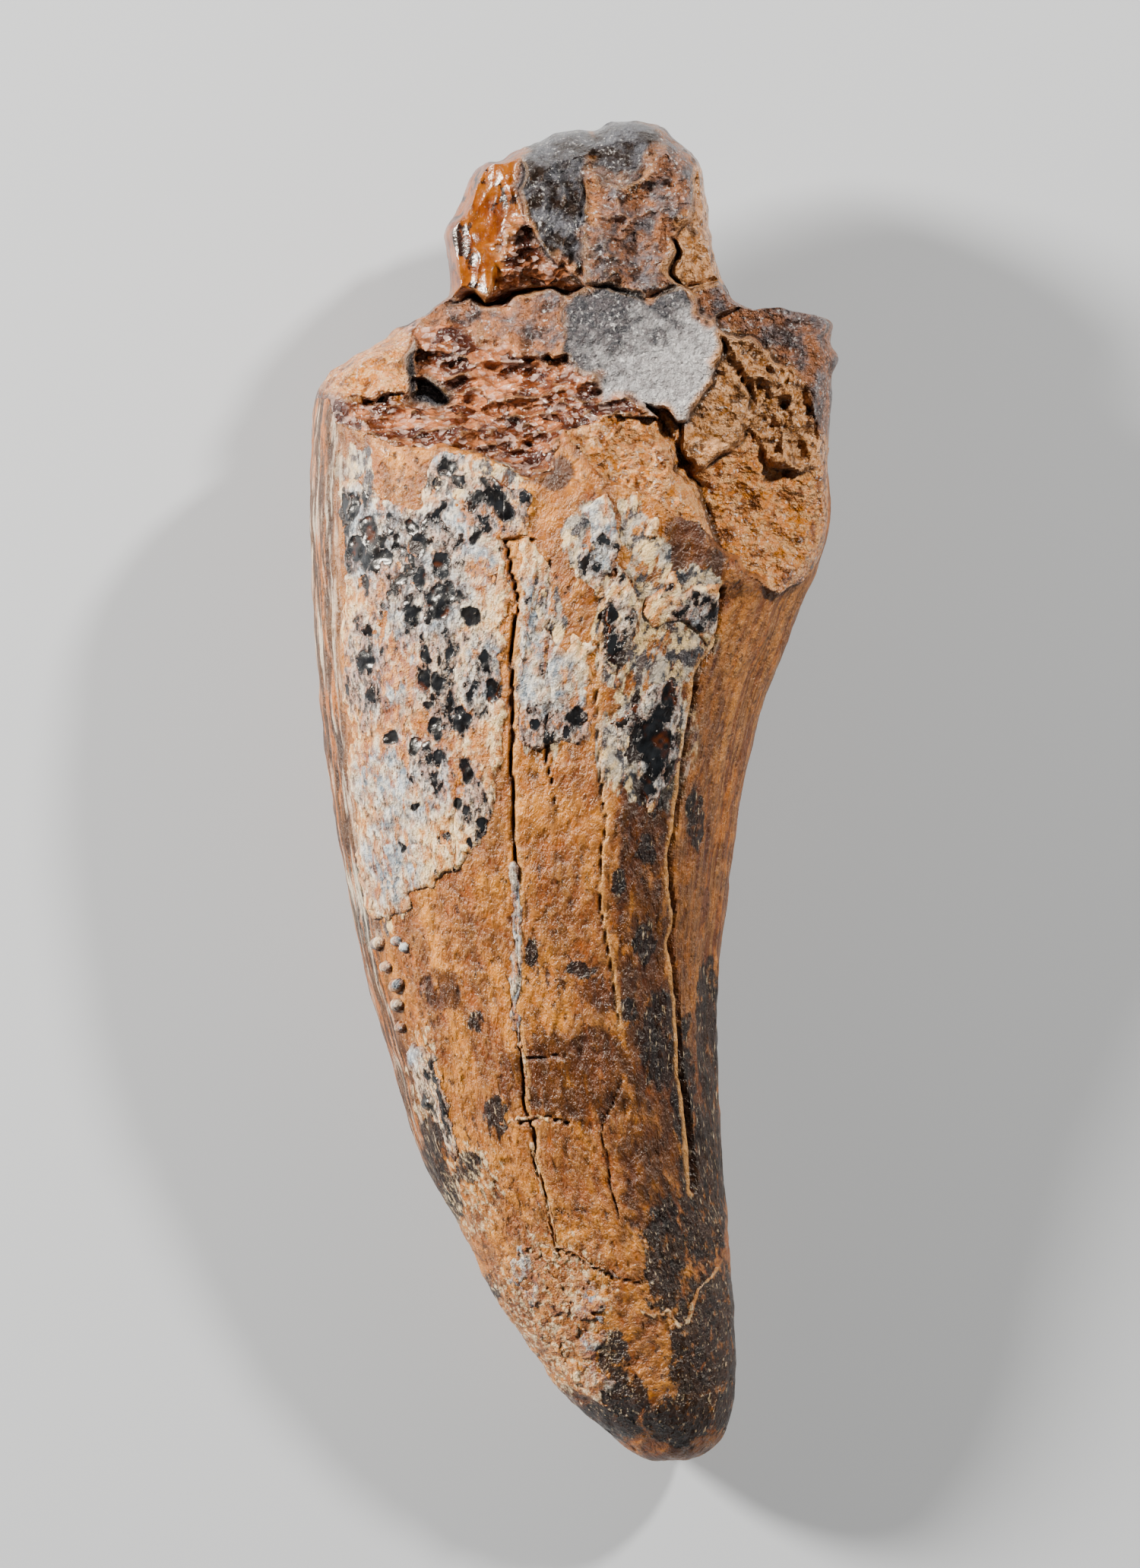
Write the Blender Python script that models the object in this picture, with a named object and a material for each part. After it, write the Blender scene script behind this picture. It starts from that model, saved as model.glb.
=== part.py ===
"""A fossil tyrannosaur tooth with a broken root, lying on its flatter side.

The tooth is one solid. It lies along Y with its root at +Y and its worn tip at -Y, the convex front
edge at -X, and the face that is seen from above at +Z. The origin is under the middle of its box, on
the surface that it rests on. Lengths are in millimetres until the mesh is made, in metres.
"""

import bpy
import numpy as np

MM = 0.001

# Rows of the outline from the tip to the top of the root stub: left x and y, right x and y,
# height of the tooth's middle above the surface, and half its thickness
OUTLINE = (
    (9.4, -65.0, 9.4, -65.0, 7.2, 0.0),
    (7.1, -64.7, 11.9, -64.7, 7.2, 2.2),
    (2.9, -61.9, 14.5, -62.8, 7.4, 4.9),
    (-0.7, -58.8, 15.5, -59.9, 7.8, 6.6),
    (-3.9, -54.4, 15.8, -55.8, 8.4, 7.9),
    (-6.9, -49.9, 15.7, -51.0, 9.1, 9.1),
    (-10.8, -42.6, 15.3, -42.6, 10.2, 10.5),
    (-14.7, -35.2, 14.6, -35.2, 11.1, 11.5),
    (-17.5, -26.3, 14.2, -26.3, 12.1, 12.5),
    (-20.0, -17.5, 14.3, -17.5, 13.0, 13.4),
    (-21.8, -8.7, 15.2, -8.7, 14.0, 14.4),
    (-23.3, 0.2, 16.5, 0.2, 14.8, 15.2),
    (-24.4, 9.0, 18.7, 9.0, 15.3, 15.7),
    (-25.1, 17.9, 21.7, 16.8, 15.9, 16.3),
    (-25.5, 26.0, 24.7, 25.2, 16.2, 16.6),
    (-25.3, 33.3, 24.8, 32.6, 16.2, 16.6),
    (-24.8, 38.1, 25.2, 38.5, 15.9, 16.3),
    (-23.0, 41.3, 25.6, 43.3, 15.4, 15.2),
    (-20.1, 42.9, 24.8, 45.9, 15.0, 14.0),
    (-17.2, 45.0, 21.2, 46.7, 14.8, 13.2),
    (-14.6, 46.5, 17.1, 46.9, 14.7, 13.0),
    (-12.2, 48.1, 15.4, 47.9, 14.7, 13.2),
    (-11.8, 51.0, 14.2, 50.7, 14.8, 13.0),
    (-11.9, 54.0, 13.2, 54.4, 14.8, 12.5),
    (-11.0, 56.9, 12.8, 58.0, 14.8, 11.6),
    (-9.8, 60.0, 11.9, 61.4, 14.7, 9.9),
    (-6.3, 61.5, 10.1, 63.3, 14.6, 7.8),
    (-2.1, 63.6, 8.3, 64.4, 14.6, 5.2),
    (3.5, 64.8, 3.5, 64.8, 14.6, 0.0),
)
FRONT_FULLNESS = 2.3
BACK_FULLNESS = 2.6
THINNEST = 3.5

# Where the outer wall is broken off, as lines seen from above: the rim over the front face, the
# crest that runs down to the back edge, the groove behind the crest, and the rim of the underside
RIM = ((-29.0, 38.6), (-23.3, 38.4), (-22.9, 36.0), (-18.6, 34.0), (-14.2, 33.2), (-8.3, 32.5),
       (-3.9, 31.7), (-1.4, 32.6), (-0.9, 35.6), (3.0, 36.6), (7.5, 36.0), (12.0, 33.0))
CREST = ((-3.0, 37.0), (-1.0, 34.6), (1.5, 32.1), (4.1, 29.8), (8.3, 28.1), (11.1, 25.8),
         (14.0, 23.9), (16.8, 21.3), (20.2, 19.5), (24.0, 21.0))
GROOVE = ((6.5, 38.5), (8.2, 35.2), (10.0, 32.6), (11.8, 29.0), (13.2, 25.6))
UNDERSIDE_RIM = ((-28.0, 38.0), (-16.0, 37.0), (-4.0, 39.0), (8.0, 35.5), (28.0, 33.0))

# The joint between the root stub and the break below it, a sliver that stands up from the break,
# and a slit in the stub
JOINT = ((-12.5, 48.2), (-11.1, 47.9), (-8.3, 47.2), (-3.9, 47.9), (1.8, 49.0), (7.1, 48.1),
         (9.4, 48.7), (14.5, 49.6))
SLIVER = ((-15.7, 44.5), (-15.0, 42.9), (-15.0, 38.9), (-15.8, 38.5), (-16.0, 42.2))
SLIT = ((10.2, 53.6), (9.9, 51.6), (10.4, 49.4))

# The long cracks down the crown, the edge of its outer layer at the back, and the underside's cracks
LONG_CRACKS = (
    ((-5.8, 23.6), (-5.8, 20.5), (-5.3, 17.9), (-6.0, 8.1), (-6.0, 3.1), (-5.9, -4.6), (-5.4, -10.0)),
    ((-4.8, -25.8), (-4.3, -30.8), (-2.9, -38.4), (-1.3, -44.0)),
    ((2.2, 23.6), (2.4, 10.9), (2.5, 3.2), (2.9, -4.1), (2.8, -11.6), (3.9, -17.2), (4.3, -22.7)),
    ((-11.5, 12.6), (-11.6, 3.1), (-11.3, -1.1), (-11.1, -6.7)),
)
BACK_EDGE_CRACK = ((14.6, 19.3), (14.0, 14.3), (12.3, 10.5), (11.4, 4.7), (10.7, 0.3), (10.1, -4.1),
                   (9.7, -9.4), (10.1, -15.7), (10.3, -21.2))
UNDERSIDE_CRACKS = (
    ((-9.0, 30.0), (-9.5, 14.0), (-9.0, -2.0), (-7.0, -18.0), (-3.0, -34.0)),
    ((6.0, 26.0), (5.5, 12.0), (6.0, -6.0), (7.5, -20.0)),
)

# Pieces of the broken root, from back to front: outline, height above the surface at its middle
# and its slopes along x and y, and width, length and height of its chips
PATCHES = {
    "brown_block": (
        ((14.2, 46.0), (15.6, 48.7), (19.1, 48.4), (22.9, 48.0), (27.4, 46.6), (27.8, 42.2), (27.4, 38.7),
         (26.4, 34.9), (24.3, 35.2), (22.6, 39.0), (21.2, 42.2), (18.8, 43.2), (15.6, 43.9)),
        (21.0, -0.1, -0.3), (4.2, 5.0, 0.8)),
    "spongy": (
        ((13.9, 44.3), (15.6, 43.6), (18.1, 43.2), (21.2, 40.8), (22.6, 37.6), (24.3, 34.5), (25.4, 31.7),
         (21.9, 31.7), (19.1, 32.4), (17.7, 34.2), (16.7, 35.9), (16.3, 38.7), (14.2, 40.8)),
        (24.8, -0.35, -0.1), (1.9, 3.4, 1.0)),
    "orange_lump": (
        ((11.1, 36.6), (13.9, 40.1), (15.6, 39.7), (16.5, 37.6), (16.0, 35.2), (14.9, 33.1), (12.5, 31.4),
         (11.1, 33.1)),
        (26.6, -0.1, -0.2), (3.0, 4.0, 0.4)),
    "wall_piece": (
        ((-25.0, 40.9), (-20.5, 44.6), (-17.4, 46.6), (-15.5, 44.9), (-15.8, 38.7), (-18.8, 38.7),
         (-21.9, 39.4), (-24.7, 39.6)),
        (22.2, 0.5, -0.7), (9.0, 9.0, 0.15)),
    "dark_notch": (
        ((-15.0, 40.6), (-12.2, 39.4), (-12.4, 38.4), (-14.9, 38.4)),
        (22.6, 0.1, -0.6), (3.0, 3.0, 0.1)),
    "lens": (
        ((-15.5, 44.3), (-14.3, 45.3), (-11.8, 45.1), (-9.4, 44.3), (-6.6, 42.9), (-5.2, 42.0),
         (-8.0, 42.2), (-10.8, 42.3), (-12.9, 42.5), (-15.0, 42.9)),
        (24.0, 0.2, -0.9), (9.0, 9.0, 0.1)),
    "pale_chips": (
        ((-15.0, 47.4), (-10.8, 50.0), (-8.0, 49.6), (-5.2, 49.3), (-0.4, 48.6), (0.3, 47.0), (-0.1, 45.3),
         (0.4, 42.9), (-4.9, 42.5), (-6.6, 43.9), (-9.4, 44.9), (-13.6, 45.3)),
        (23.2, 0.32, -0.7), (3.2, 2.4, 0.7)),
    "grey_patch": (
        ((0.0, 49.9), (1.4, 50.4), (5.2, 50.9), (7.3, 50.7), (10.4, 50.3), (12.5, 48.4), (13.7, 46.7),
         (13.9, 44.3), (14.1, 42.2), (13.2, 39.7), (11.5, 37.3), (10.4, 35.9), (8.7, 37.3), (4.9, 38.3),
         (3.8, 39.0), (1.4, 41.1), (0.0, 42.9), (-0.5, 45.3)),
        (28.2, -0.06, -0.33), (6.0, 5.0, 0.35)),
    "pale_lump": (
        ((12.2, 49.1), (13.9, 49.6), (15.3, 49.5), (16.5, 47.7), (15.6, 46.5), (14.2, 46.0), (13.2, 47.0)),
        (22.6, -0.5, 0.1), (3.0, 3.0, 0.5)),
    "slab": (
        ((-9.4, 61.4), (-7.5, 62.3), (-6.6, 61.8), (-5.2, 63.0), (-4.3, 62.6), (-4.4, 58.7), (-4.5, 55.0),
         (-5.4, 54.5), (-6.6, 53.5), (-7.0, 51.6), (-7.2, 49.1), (-8.0, 47.6), (-9.8, 48.2), (-10.6, 48.1),
         (-13.3, 48.6), (-13.7, 50.5), (-13.2, 52.6), (-13.2, 54.7), (-12.7, 56.4), (-11.8, 59.2)),
        (22.4, 0.42, -0.12), (3.6, 9.0, 0.6)),
    "glassy_facet": (
        ((-5.2, 54.7), (-2.3, 52.8), (1.4, 49.5), (-0.4, 48.6), (-5.2, 48.1), (-7.8, 47.4), (-7.3, 49.1),
         (-6.9, 51.6), (-6.4, 53.5)),
        (22.9, 0.1, 0.42), (4.5, 3.4, 0.9)),
    "glitter_band": (
        ((-4.3, 62.6), (-3.1, 65.4), (-0.4, 66.4), (1.4, 65.7), (2.1, 62.0), (2.2, 59.6), (2.1, 56.4),
         (1.6, 53.6), (1.4, 49.5), (-2.3, 52.8), (-4.5, 55.0), (-4.4, 58.7)),
        (24.4, -0.12, -0.2), (2.2, 6.5, 0.6)),
    "brown_face": (
        ((2.2, 59.6), (4.9, 59.1), (6.8, 59.9), (7.5, 66.4), (10.4, 65.0), (12.2, 60.2), (12.2, 56.1),
         (11.1, 54.3), (10.1, 53.3), (10.1, 49.8), (10.4, 49.5), (7.3, 48.8), (5.2, 48.9), (1.4, 49.5),
         (1.6, 53.6)),
        (25.0, -0.12, -0.3), (2.8, 3.4, 0.7)),
    "smooth_dimple": (
        ((1.9, 62.0), (2.1, 66.4), (5.2, 67.1), (7.3, 66.4), (7.5, 62.0), (6.8, 59.9), (4.9, 59.2),
         (3.1, 59.4), (2.2, 59.9)),
        (22.0, 0.0, -0.5), (6.0, 6.0, 0.3)),
    "edge_strip": (
        ((12.2, 62.2), (15.6, 59.5), (15.9, 54.0), (16.3, 50.2), (13.9, 49.5), (12.2, 49.1), (10.4, 49.5),
         (10.2, 52.6), (11.1, 54.0), (11.6, 55.7)),
        (20.6, -0.9, -0.25), (1.6, 4.5, 0.6)),
}

PATCH_EDGE = 0.25

COLUMNS = 150
ROWS = 240
FACES = 9400


def smooth_curve(knots, values, at):
    """A cubic through the values whose slope at each knot is that of its neighbours' chord."""
    slopes = np.gradient(values, knots, axis=0)
    i = np.clip(np.searchsorted(knots, at, side="right") - 1, 0, len(knots) - 2)
    width = (knots[i + 1] - knots[i])[:, None]
    t = (at - knots[i])[:, None] / width
    start = values[i] * (1 + 2 * t) * (1 - t) ** 2 + slopes[i] * width * t * (1 - t) ** 2
    end = values[i + 1] * t**2 * (3 - 2 * t) - slopes[i + 1] * width * t**2 * (1 - t)
    return start + end


def smooth_step(low, high, value):
    """0 on the low side, 1 on the high side, and a smooth S between."""
    t = np.clip((value - low) / (high - low), 0.0, 1.0)
    return t * t * (3 - 2 * t)


def beside(x, y, path, endless=True):
    """Distance to the path, and the same with a minus sign on its right-hand side.

    An endless path goes straight on past its two ends."""
    nearest = np.full(x.shape, np.inf)
    signed = np.zeros(x.shape)
    last = len(path) - 2
    for i, ((ax, ay), (bx, by)) in enumerate(zip(path, path[1:])):
        along_x, along_y = bx - ax, by - ay
        t = ((x - ax) * along_x + (y - ay) * along_y) / (along_x**2 + along_y**2)
        low = -np.inf if endless and i == 0 else 0.0
        high = np.inf if endless and i == last else 1.0
        t = np.clip(t, low, high)
        away_x, away_y = x - ax - t * along_x, y - ay - t * along_y
        distance = np.hypot(away_x, away_y)
        side = np.where(along_x * away_y - along_y * away_x < 0, -1.0, 1.0)
        closer = distance < nearest
        signed = np.where(closer, side * distance, signed)
        nearest = np.where(closer, distance, nearest)
    return nearest, signed


def edge_distance(x, y, outline):
    """Distance from the outline's edge, negative outside it."""
    inside = np.zeros(x.shape, dtype=bool)
    for (ax, ay), (bx, by) in zip(outline, outline[1:] + outline[:1]):
        crosses = (ay > y) != (by > y)
        inside ^= crosses & (x < ax + (y - ay) * (bx - ax) / ((by - ay) or 1.0))
    nearest, _ = beside(x, y, outline + outline[:1], endless=False)
    return np.where(inside, nearest, -nearest)


def furrow(x, y, path, width, depth):
    """Depth of a V-shaped crack along the path."""
    nearest, _ = beside(x, y, path, endless=False)
    return depth * smooth_step(width / 2, 0.0, nearest)


def scatter(ix, iy, iz, seed):
    """An even spread of numbers from -1 to 1, one for each whole-numbered place."""
    h = (ix * 374761393 + iy * 668265263 + iz * 2147483647 + seed * 1274126177) & 0xFFFFFFFF
    h = ((h ^ (h >> 13)) * 1103515245) & 0xFFFFFFFF
    h = ((h ^ (h >> 16)) * 2654435761) & 0xFFFFFFFF
    return (h ^ (h >> 15)) / 0x7FFFFFFF - 1.0


def lumps(x, y, size, seed):
    """Smooth random lumps of about this size: numbers at lattice points, blended between them."""
    cell_x, cell_y = np.floor(x / size), np.floor(y / size)
    part_x, part_y = smooth_step(0.0, 1.0, x / size - cell_x), smooth_step(0.0, 1.0, y / size - cell_y)
    ix, iy = cell_x.astype(np.int64), cell_y.astype(np.int64)
    low = scatter(ix, iy, 0, seed) * (1 - part_x) + scatter(ix + 1, iy, 0, seed) * part_x
    high = scatter(ix, iy + 1, 0, seed) * (1 - part_x) + scatter(ix + 1, iy + 1, 0, seed) * part_x
    return low * (1 - part_y) + high * part_y


def chips(x, y, wide, tall, seed):
    """Shell-like chips: the lowest of many tilted bowls, with sharp ridges between them."""
    u, v = x / wide, y / tall
    cell_u, cell_v = np.floor(u).astype(np.int64), np.floor(v).astype(np.int64)
    lowest = np.full(np.shape(x), np.inf)
    for du in (-1, 0, 1):
        for dv in (-1, 0, 1):
            iu, iv = cell_u + du, cell_v + dv
            away_u = u - (iu + 0.5 + 0.45 * scatter(iu, iv, 0, seed))
            away_v = v - (iv + 0.5 + 0.45 * scatter(iu, iv, 1, seed))
            bowl = 0.35 * scatter(iu, iv, 2, seed) + 0.25 * away_v
            bowl = bowl + 0.35 * away_u * scatter(iu, iv, 3, seed)
            lowest = np.minimum(lowest, bowl + 1.5 * (away_u**2 + away_v**2))
    return lowest - 0.2


def arch(q, fullness):
    """Height of the tooth's rounded section, from 0 at its edges to 1 in the middle."""
    return np.sqrt(np.maximum(1 - np.abs(q) ** fullness, 0.0))


def outline_rows(count):
    """The outline's values on this many rows, spaced evenly along its edges."""
    table = np.array(OUTLINE)
    left, right = table[:, 0:2], table[:, 2:4]
    steps = np.hypot(*np.diff(left, axis=0).T) + np.hypot(*np.diff(right, axis=0).T)
    knots = np.concatenate([[0.0], np.cumsum(steps)])
    return smooth_curve(knots, table, np.linspace(0.0, knots[-1], count))


def shaken(x, y, amount, size, seed):
    """The same places, each moved a little in a random direction."""
    return x + amount * lumps(x, y, size, seed), y + amount * lumps(x, y, size, seed + 1)


def terrace(x, y, above_rim):
    """The chipped slope on the left, from the rim up to the skyline."""
    base = 31.2 - 0.012 * (x + 1.0) ** 2 - 1.05 * above_rim
    return base + 1.5 * chips(x + 0.6 * y, y, 5.5, 2.4, 5) + 0.9 * chips(x - 0.4 * y, y, 2.6, 1.3, 6)


def crest_slope(x, y, above_crest):
    """The smooth slope behind the crest, down into the groove."""
    rough = 0.5 * lumps(x, y, 3.2, 21) + 0.25 * chips(x + y, y - x, 3.6, 1.8, 23)
    return 31.2 - 0.2 * (x + 1.0) - 0.6 * above_crest + rough


def valley(x, y):
    """The hollow behind the groove, which falls away to the back edge."""
    surface = np.interp(y, (18.0, 21.0, 26.0, 32.0, 40.0, 47.0), (29.0, 25.4, 24.0, 23.8, 22.6, 21.0))
    surface = surface - 0.4 * (x - 18.0) - 0.12 * np.maximum(x - 20.0, 0.0) ** 2
    return surface + 0.6 * lumps(x, y, 4.0, 25)


def broken_surface(x, y, wall):
    """Height of the broken root: slopes behind the rim and the crest, and the pieces on them."""
    x, y = shaken(x, y, 0.5, 2.4, 41)
    _, above_rim = beside(x, y, RIM)
    _, above_crest = beside(x, y, CREST)
    to_groove, left_of_groove = beside(x, y, GROOVE)
    behind = np.where(left_of_groove > 0, crest_slope(x, y, above_crest), valley(x, y))
    behind = behind - 2.8 * smooth_step(1.5, 0.0, to_groove)
    surface = np.where(above_rim > 0, np.minimum(wall, terrace(x, y, above_rim)), wall)
    surface = np.where(above_crest > 0, np.minimum(surface, behind), surface)
    for seed, (outline, (height, slope_x, slope_y), (wide, tall, chip)) in enumerate(PATCHES.values()):
        middle_x, middle_y = np.mean(outline, axis=0)
        patch = height + slope_x * (x - middle_x) + slope_y * (y - middle_y)
        patch = patch + chip * chips(x + 0.3 * y, y - 0.2 * x, wide, tall, 50 + seed)
        weight = smooth_step(-PATCH_EDGE, PATCH_EDGE, edge_distance(x, y, outline))
        surface = surface * (1 - weight) + patch * weight
    surface = surface + 1.2 * smooth_step(-0.15, 0.2, edge_distance(x, y, SLIVER))
    joint, _ = beside(x, y, JOINT)
    gape = np.interp(x, (-12.0, -8.0, -4.0, -1.0), (3.6, 3.2, 1.8, 1.0))
    surface = surface - gape * smooth_step(0.35 + 0.12 * gape, 0.0, joint)
    return surface - furrow(x, y, SLIT, 1.0, 1.8)


def upper_surface(x, y, wall):
    """Height of the upper side: the outer wall with its cracks, and the broken root."""
    surface = wall - crown_cracks(x, y)
    root = y > 16.0
    surface[root] = np.minimum(surface[root], broken_surface(x[root], y[root], wall[root]))
    return surface


def crown_cracks(x, y):
    """How far the cracks of the crown, and the lower layer behind its back edge, cut into it."""
    x, y = shaken(x, y, 0.4, 3.0, 71)
    cut = furrow(x, y, BACK_EDGE_CRACK, 1.2, 1.2)
    for path in LONG_CRACKS:
        cut = np.maximum(cut, furrow(x, y, path, 1.3, 1.0))
    _, beyond = beside(x, y, BACK_EDGE_CRACK)
    on_crown = smooth_step(-32.0, -18.0, y) * smooth_step(20.5, 18.0, y)
    return cut + 0.7 * on_crown * smooth_step(-0.3, 0.3, beyond)


def lower_surface(x, y, wall):
    """Height of the underside: the outer wall, its own break, and a worn flat where it rests."""
    x, y = shaken(x, y, 0.5, 2.4, 43)
    _, above_rim = beside(x, y, UNDERSIDE_RIM)
    broken = 3.2 + np.interp(above_rim, (0.0, 7.0, 30.0), (0.0, 5.6, 9.0))
    broken = broken + 1.2 * chips(x, y + 0.2 * x, 5.0, 4.0, 11) + 0.5 * chips(x, y, 2.4, 2.0, 12)
    wall = wall + underside_cracks(x, y)
    return np.maximum(np.where(above_rim > 0, np.maximum(wall, broken), wall), 0.0)


def underside_cracks(x, y):
    """How far the cracks of the underside cut into it."""
    cut = np.zeros(x.shape)
    for path in UNDERSIDE_CRACKS:
        cut = np.maximum(cut, furrow(x, y, path, 1.3, 1.0))
    return cut


def tooth_grid():
    """Rows of points round the tooth, from the left edge over the upper side and back beneath."""
    left_x, left_y, right_x, right_y, middle, half = np.moveaxis(outline_rows(ROWS)[:, None, :], -1, 0)
    top_count = COLUMNS * 3 // 5
    over = -np.cos(np.linspace(0.0, np.pi, top_count))[None, :]
    under = np.cos(np.linspace(0.0, np.pi, COLUMNS - top_count + 2))[None, 1:-1]
    x, y = across(left_x, right_x, over), across(left_y, right_y, over)
    under_x, under_y = across(left_x, right_x, under), across(left_y, right_y, under)
    floor = lower_surface(x, y, middle - half * arch(over, BACK_FULLNESS))
    top = upper_surface(x, y, middle + half * arch(over, FRONT_FULLNESS))
    top = np.maximum(top, floor + THINNEST * arch(over, 4.0) * np.minimum(half / 6.0, 1.0))
    top[:, [0, -1]] = np.minimum(top[:, [0, -1]], middle)
    bottom = lower_surface(under_x, under_y, middle - half * arch(under, BACK_FULLNESS))
    cover = np.stack([np.interp(under_x[i], x[i], top[i]) for i in range(1, ROWS - 1)])
    bottom[1:-1] = np.minimum(bottom[1:-1], cover - 0.3 * arch(under, 4.0))
    ring_x = np.concatenate([x, under_x], axis=1)
    ring_y = np.concatenate([y, under_y], axis=1)
    jagged = smooth_step(36.0, 42.0, ring_y)
    moved_x, moved_y = shaken(ring_x, ring_y, 0.45, 2.0, 91)
    ring_x, ring_y = ring_x + jagged * (moved_x - ring_x), ring_y + jagged * (moved_y - ring_y)
    return np.stack([ring_x, ring_y, np.concatenate([top, bottom], axis=1)], axis=-1)


def across(left, right, q):
    """The place between left, where q is -1, and right, where q is 1."""
    return (left * (1 - q) + right * (1 + q)) / 2


def closed_mesh(name, grid):
    """A mesh of the rings, closed at both ends by one point where the outline shrinks to nothing."""
    rows, columns = grid.shape[:2]
    rings = grid[1:-1].reshape(-1, 3)
    points = np.concatenate([rings, [grid[0].mean(axis=0), grid[-1].mean(axis=0)]]) * MM
    tip, top = len(rings), len(rings) + 1
    here = np.arange(columns)
    after = (here + 1) % columns
    faces = []
    for row in range(rows - 3):
        low, high = row * columns, (row + 1) * columns
        faces += np.stack([low + here, low + after, high + after, high + here], axis=1).tolist()
    last = (rows - 3) * columns
    faces += [[tip, j, i] for i, j in zip(here.tolist(), after.tolist())]
    faces += [[top, last + i, last + j] for i, j in zip(here.tolist(), after.tolist())]
    mesh = bpy.data.meshes.new(name)
    mesh.from_pydata(points.tolist(), [], faces)
    mesh.validate()
    return mesh


def fossil_material():
    """Brown mineralised dentine, slightly glossy."""
    material = bpy.data.materials.new("fossil_dentine")
    material.use_nodes = True
    shader = material.node_tree.nodes["Principled BSDF"]
    shader.inputs["Base Color"].default_value = (0.33, 0.16, 0.07, 1.0)
    shader.inputs["Roughness"].default_value = 0.5
    shader.inputs["Metallic"].default_value = 0.0
    return material


def clear_scene():
    for item in list(bpy.data.objects):
        bpy.data.objects.remove(item)


def main():
    clear_scene()
    mesh = closed_mesh("tooth", tooth_grid())
    tooth = bpy.data.objects.new("tooth", mesh)
    bpy.context.scene.collection.objects.link(tooth)
    mesh.materials.append(fossil_material())
    mesh.shade_smooth()
    fewer = tooth.modifiers.new("fewer_faces", "DECIMATE")
    triangles = sum(len(polygon.vertices) - 2 for polygon in mesh.polygons)
    fewer.ratio = FACES / triangles


main()
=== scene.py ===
"""A fossil tyrannosaur tooth, lying on its side: crown, broken root and mineral crust.

Every shape is a surface worked out on a grid. Its rows are chords between the tooth's two outlines,
seen from above, and its columns run across it from the left edge, where q is -1, to the right edge,
where q is 1. Lengths are in millimetres until a mesh is made, in metres.
"""

from functools import cached_property
from itertools import product
from types import SimpleNamespace

import bpy
import numpy as np
from bpy.props import FloatProperty, FloatVectorProperty, IntProperty, PointerProperty
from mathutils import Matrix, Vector


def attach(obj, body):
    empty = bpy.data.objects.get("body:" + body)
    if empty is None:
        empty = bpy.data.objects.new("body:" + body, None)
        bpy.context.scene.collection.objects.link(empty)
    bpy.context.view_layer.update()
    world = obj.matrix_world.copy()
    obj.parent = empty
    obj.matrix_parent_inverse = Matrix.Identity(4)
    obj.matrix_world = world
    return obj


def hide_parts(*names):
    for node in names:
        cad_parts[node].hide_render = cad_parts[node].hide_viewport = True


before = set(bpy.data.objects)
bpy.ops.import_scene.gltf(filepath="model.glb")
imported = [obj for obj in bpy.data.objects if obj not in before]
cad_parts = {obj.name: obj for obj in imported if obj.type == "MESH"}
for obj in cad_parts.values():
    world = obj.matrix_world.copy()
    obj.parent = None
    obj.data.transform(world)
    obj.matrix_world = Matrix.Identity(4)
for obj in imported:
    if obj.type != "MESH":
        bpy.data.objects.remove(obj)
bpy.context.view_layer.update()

bl_info = {
    "name": "Fossil Tooth",
    "version": (1, 0, 0),
    "blender": (4, 5, 0),
    "location": "View3D > Sidebar > Fossil Tooth",
    "description": "Builds a fossil tyrannosaur tooth with a broken root",
    "category": "Add Mesh",
}

# A millimetre in metres, and the angle in radians from which an edge is sharp
MM = 0.001
SHARP_FROM = 0.6

# Rows of the outline from the tip to the top of the root stub: left x and y, right x and y,
# height of the tooth's middle above the surface, and half its thickness
OUTLINE = (
    9.4, -65, 9.4, -65, 7.2, 0,
    7.1, -64.7, 11.9, -64.7, 7.2, 2.2,
    2.9, -61.9, 14.5, -62.8, 7.4, 4.9,
    -0.7, -58.8, 15.5, -59.9, 7.8, 6.6,
    -3.9, -54.4, 15.8, -55.8, 8.4, 7.9,
    -6.9, -49.9, 15.7, -51, 9.1, 9.1,
    -10.8, -42.6, 15.3, -42.6, 10.2, 10.5,
    -14.7, -35.2, 14.6, -35.2, 11.1, 11.5,
    -17.5, -26.3, 14.2, -26.3, 12.1, 12.5,
    -20, -17.5, 14.3, -17.5, 13, 13.4,
    -21.8, -8.7, 15.2, -8.7, 14, 14.4,
    -23.3, 0.2, 16.5, 0.2, 14.8, 15.2,
    -24.4, 9, 18.7, 9, 15.3, 15.7,
    -25.1, 17.9, 21.7, 16.8, 15.9, 16.3,
    -25.5, 26, 24.7, 25.2, 16.2, 16.6,
    -25.3, 33.3, 24.8, 32.6, 16.2, 16.6,
    -24.8, 38.1, 25.2, 38.5, 15.9, 16.3,
    -23, 41.3, 25.6, 43.3, 15.4, 15.2,
    -20.1, 42.9, 24.8, 45.9, 15, 14,
    -17.2, 45, 21.2, 46.7, 14.8, 13.2,
    -14.6, 46.5, 17.1, 46.9, 14.7, 13,
    -12.2, 48.1, 15.4, 47.9, 14.7, 13.2,
    -11.8, 51, 14.2, 50.7, 14.8, 13,
    -11.9, 54, 13.2, 54.4, 14.8, 12.5,
    -11, 56.9, 12.8, 58, 14.8, 11.6,
    -9.8, 60, 11.9, 61.4, 14.7, 9.9,
    -6.3, 61.5, 10.1, 63.3, 14.6, 7.8,
    -2.1, 63.6, 8.3, 64.4, 14.6, 5.2,
    3.5, 64.8, 3.5, 64.8, 14.6, 0)

# The section's arch, which is an ellipse at 2 and boxier above: in front, on the stub and beneath,
# where the stub's takes over along the y axis, and the least thickness of the root
FRONT_FULLNESS, STUB_FULLNESS, BACK_FULLNESS = 2.3, 6, 2.6
STUB_FROM, STUB_WHOLE = 43, 48
THINNEST = 3.5

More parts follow.
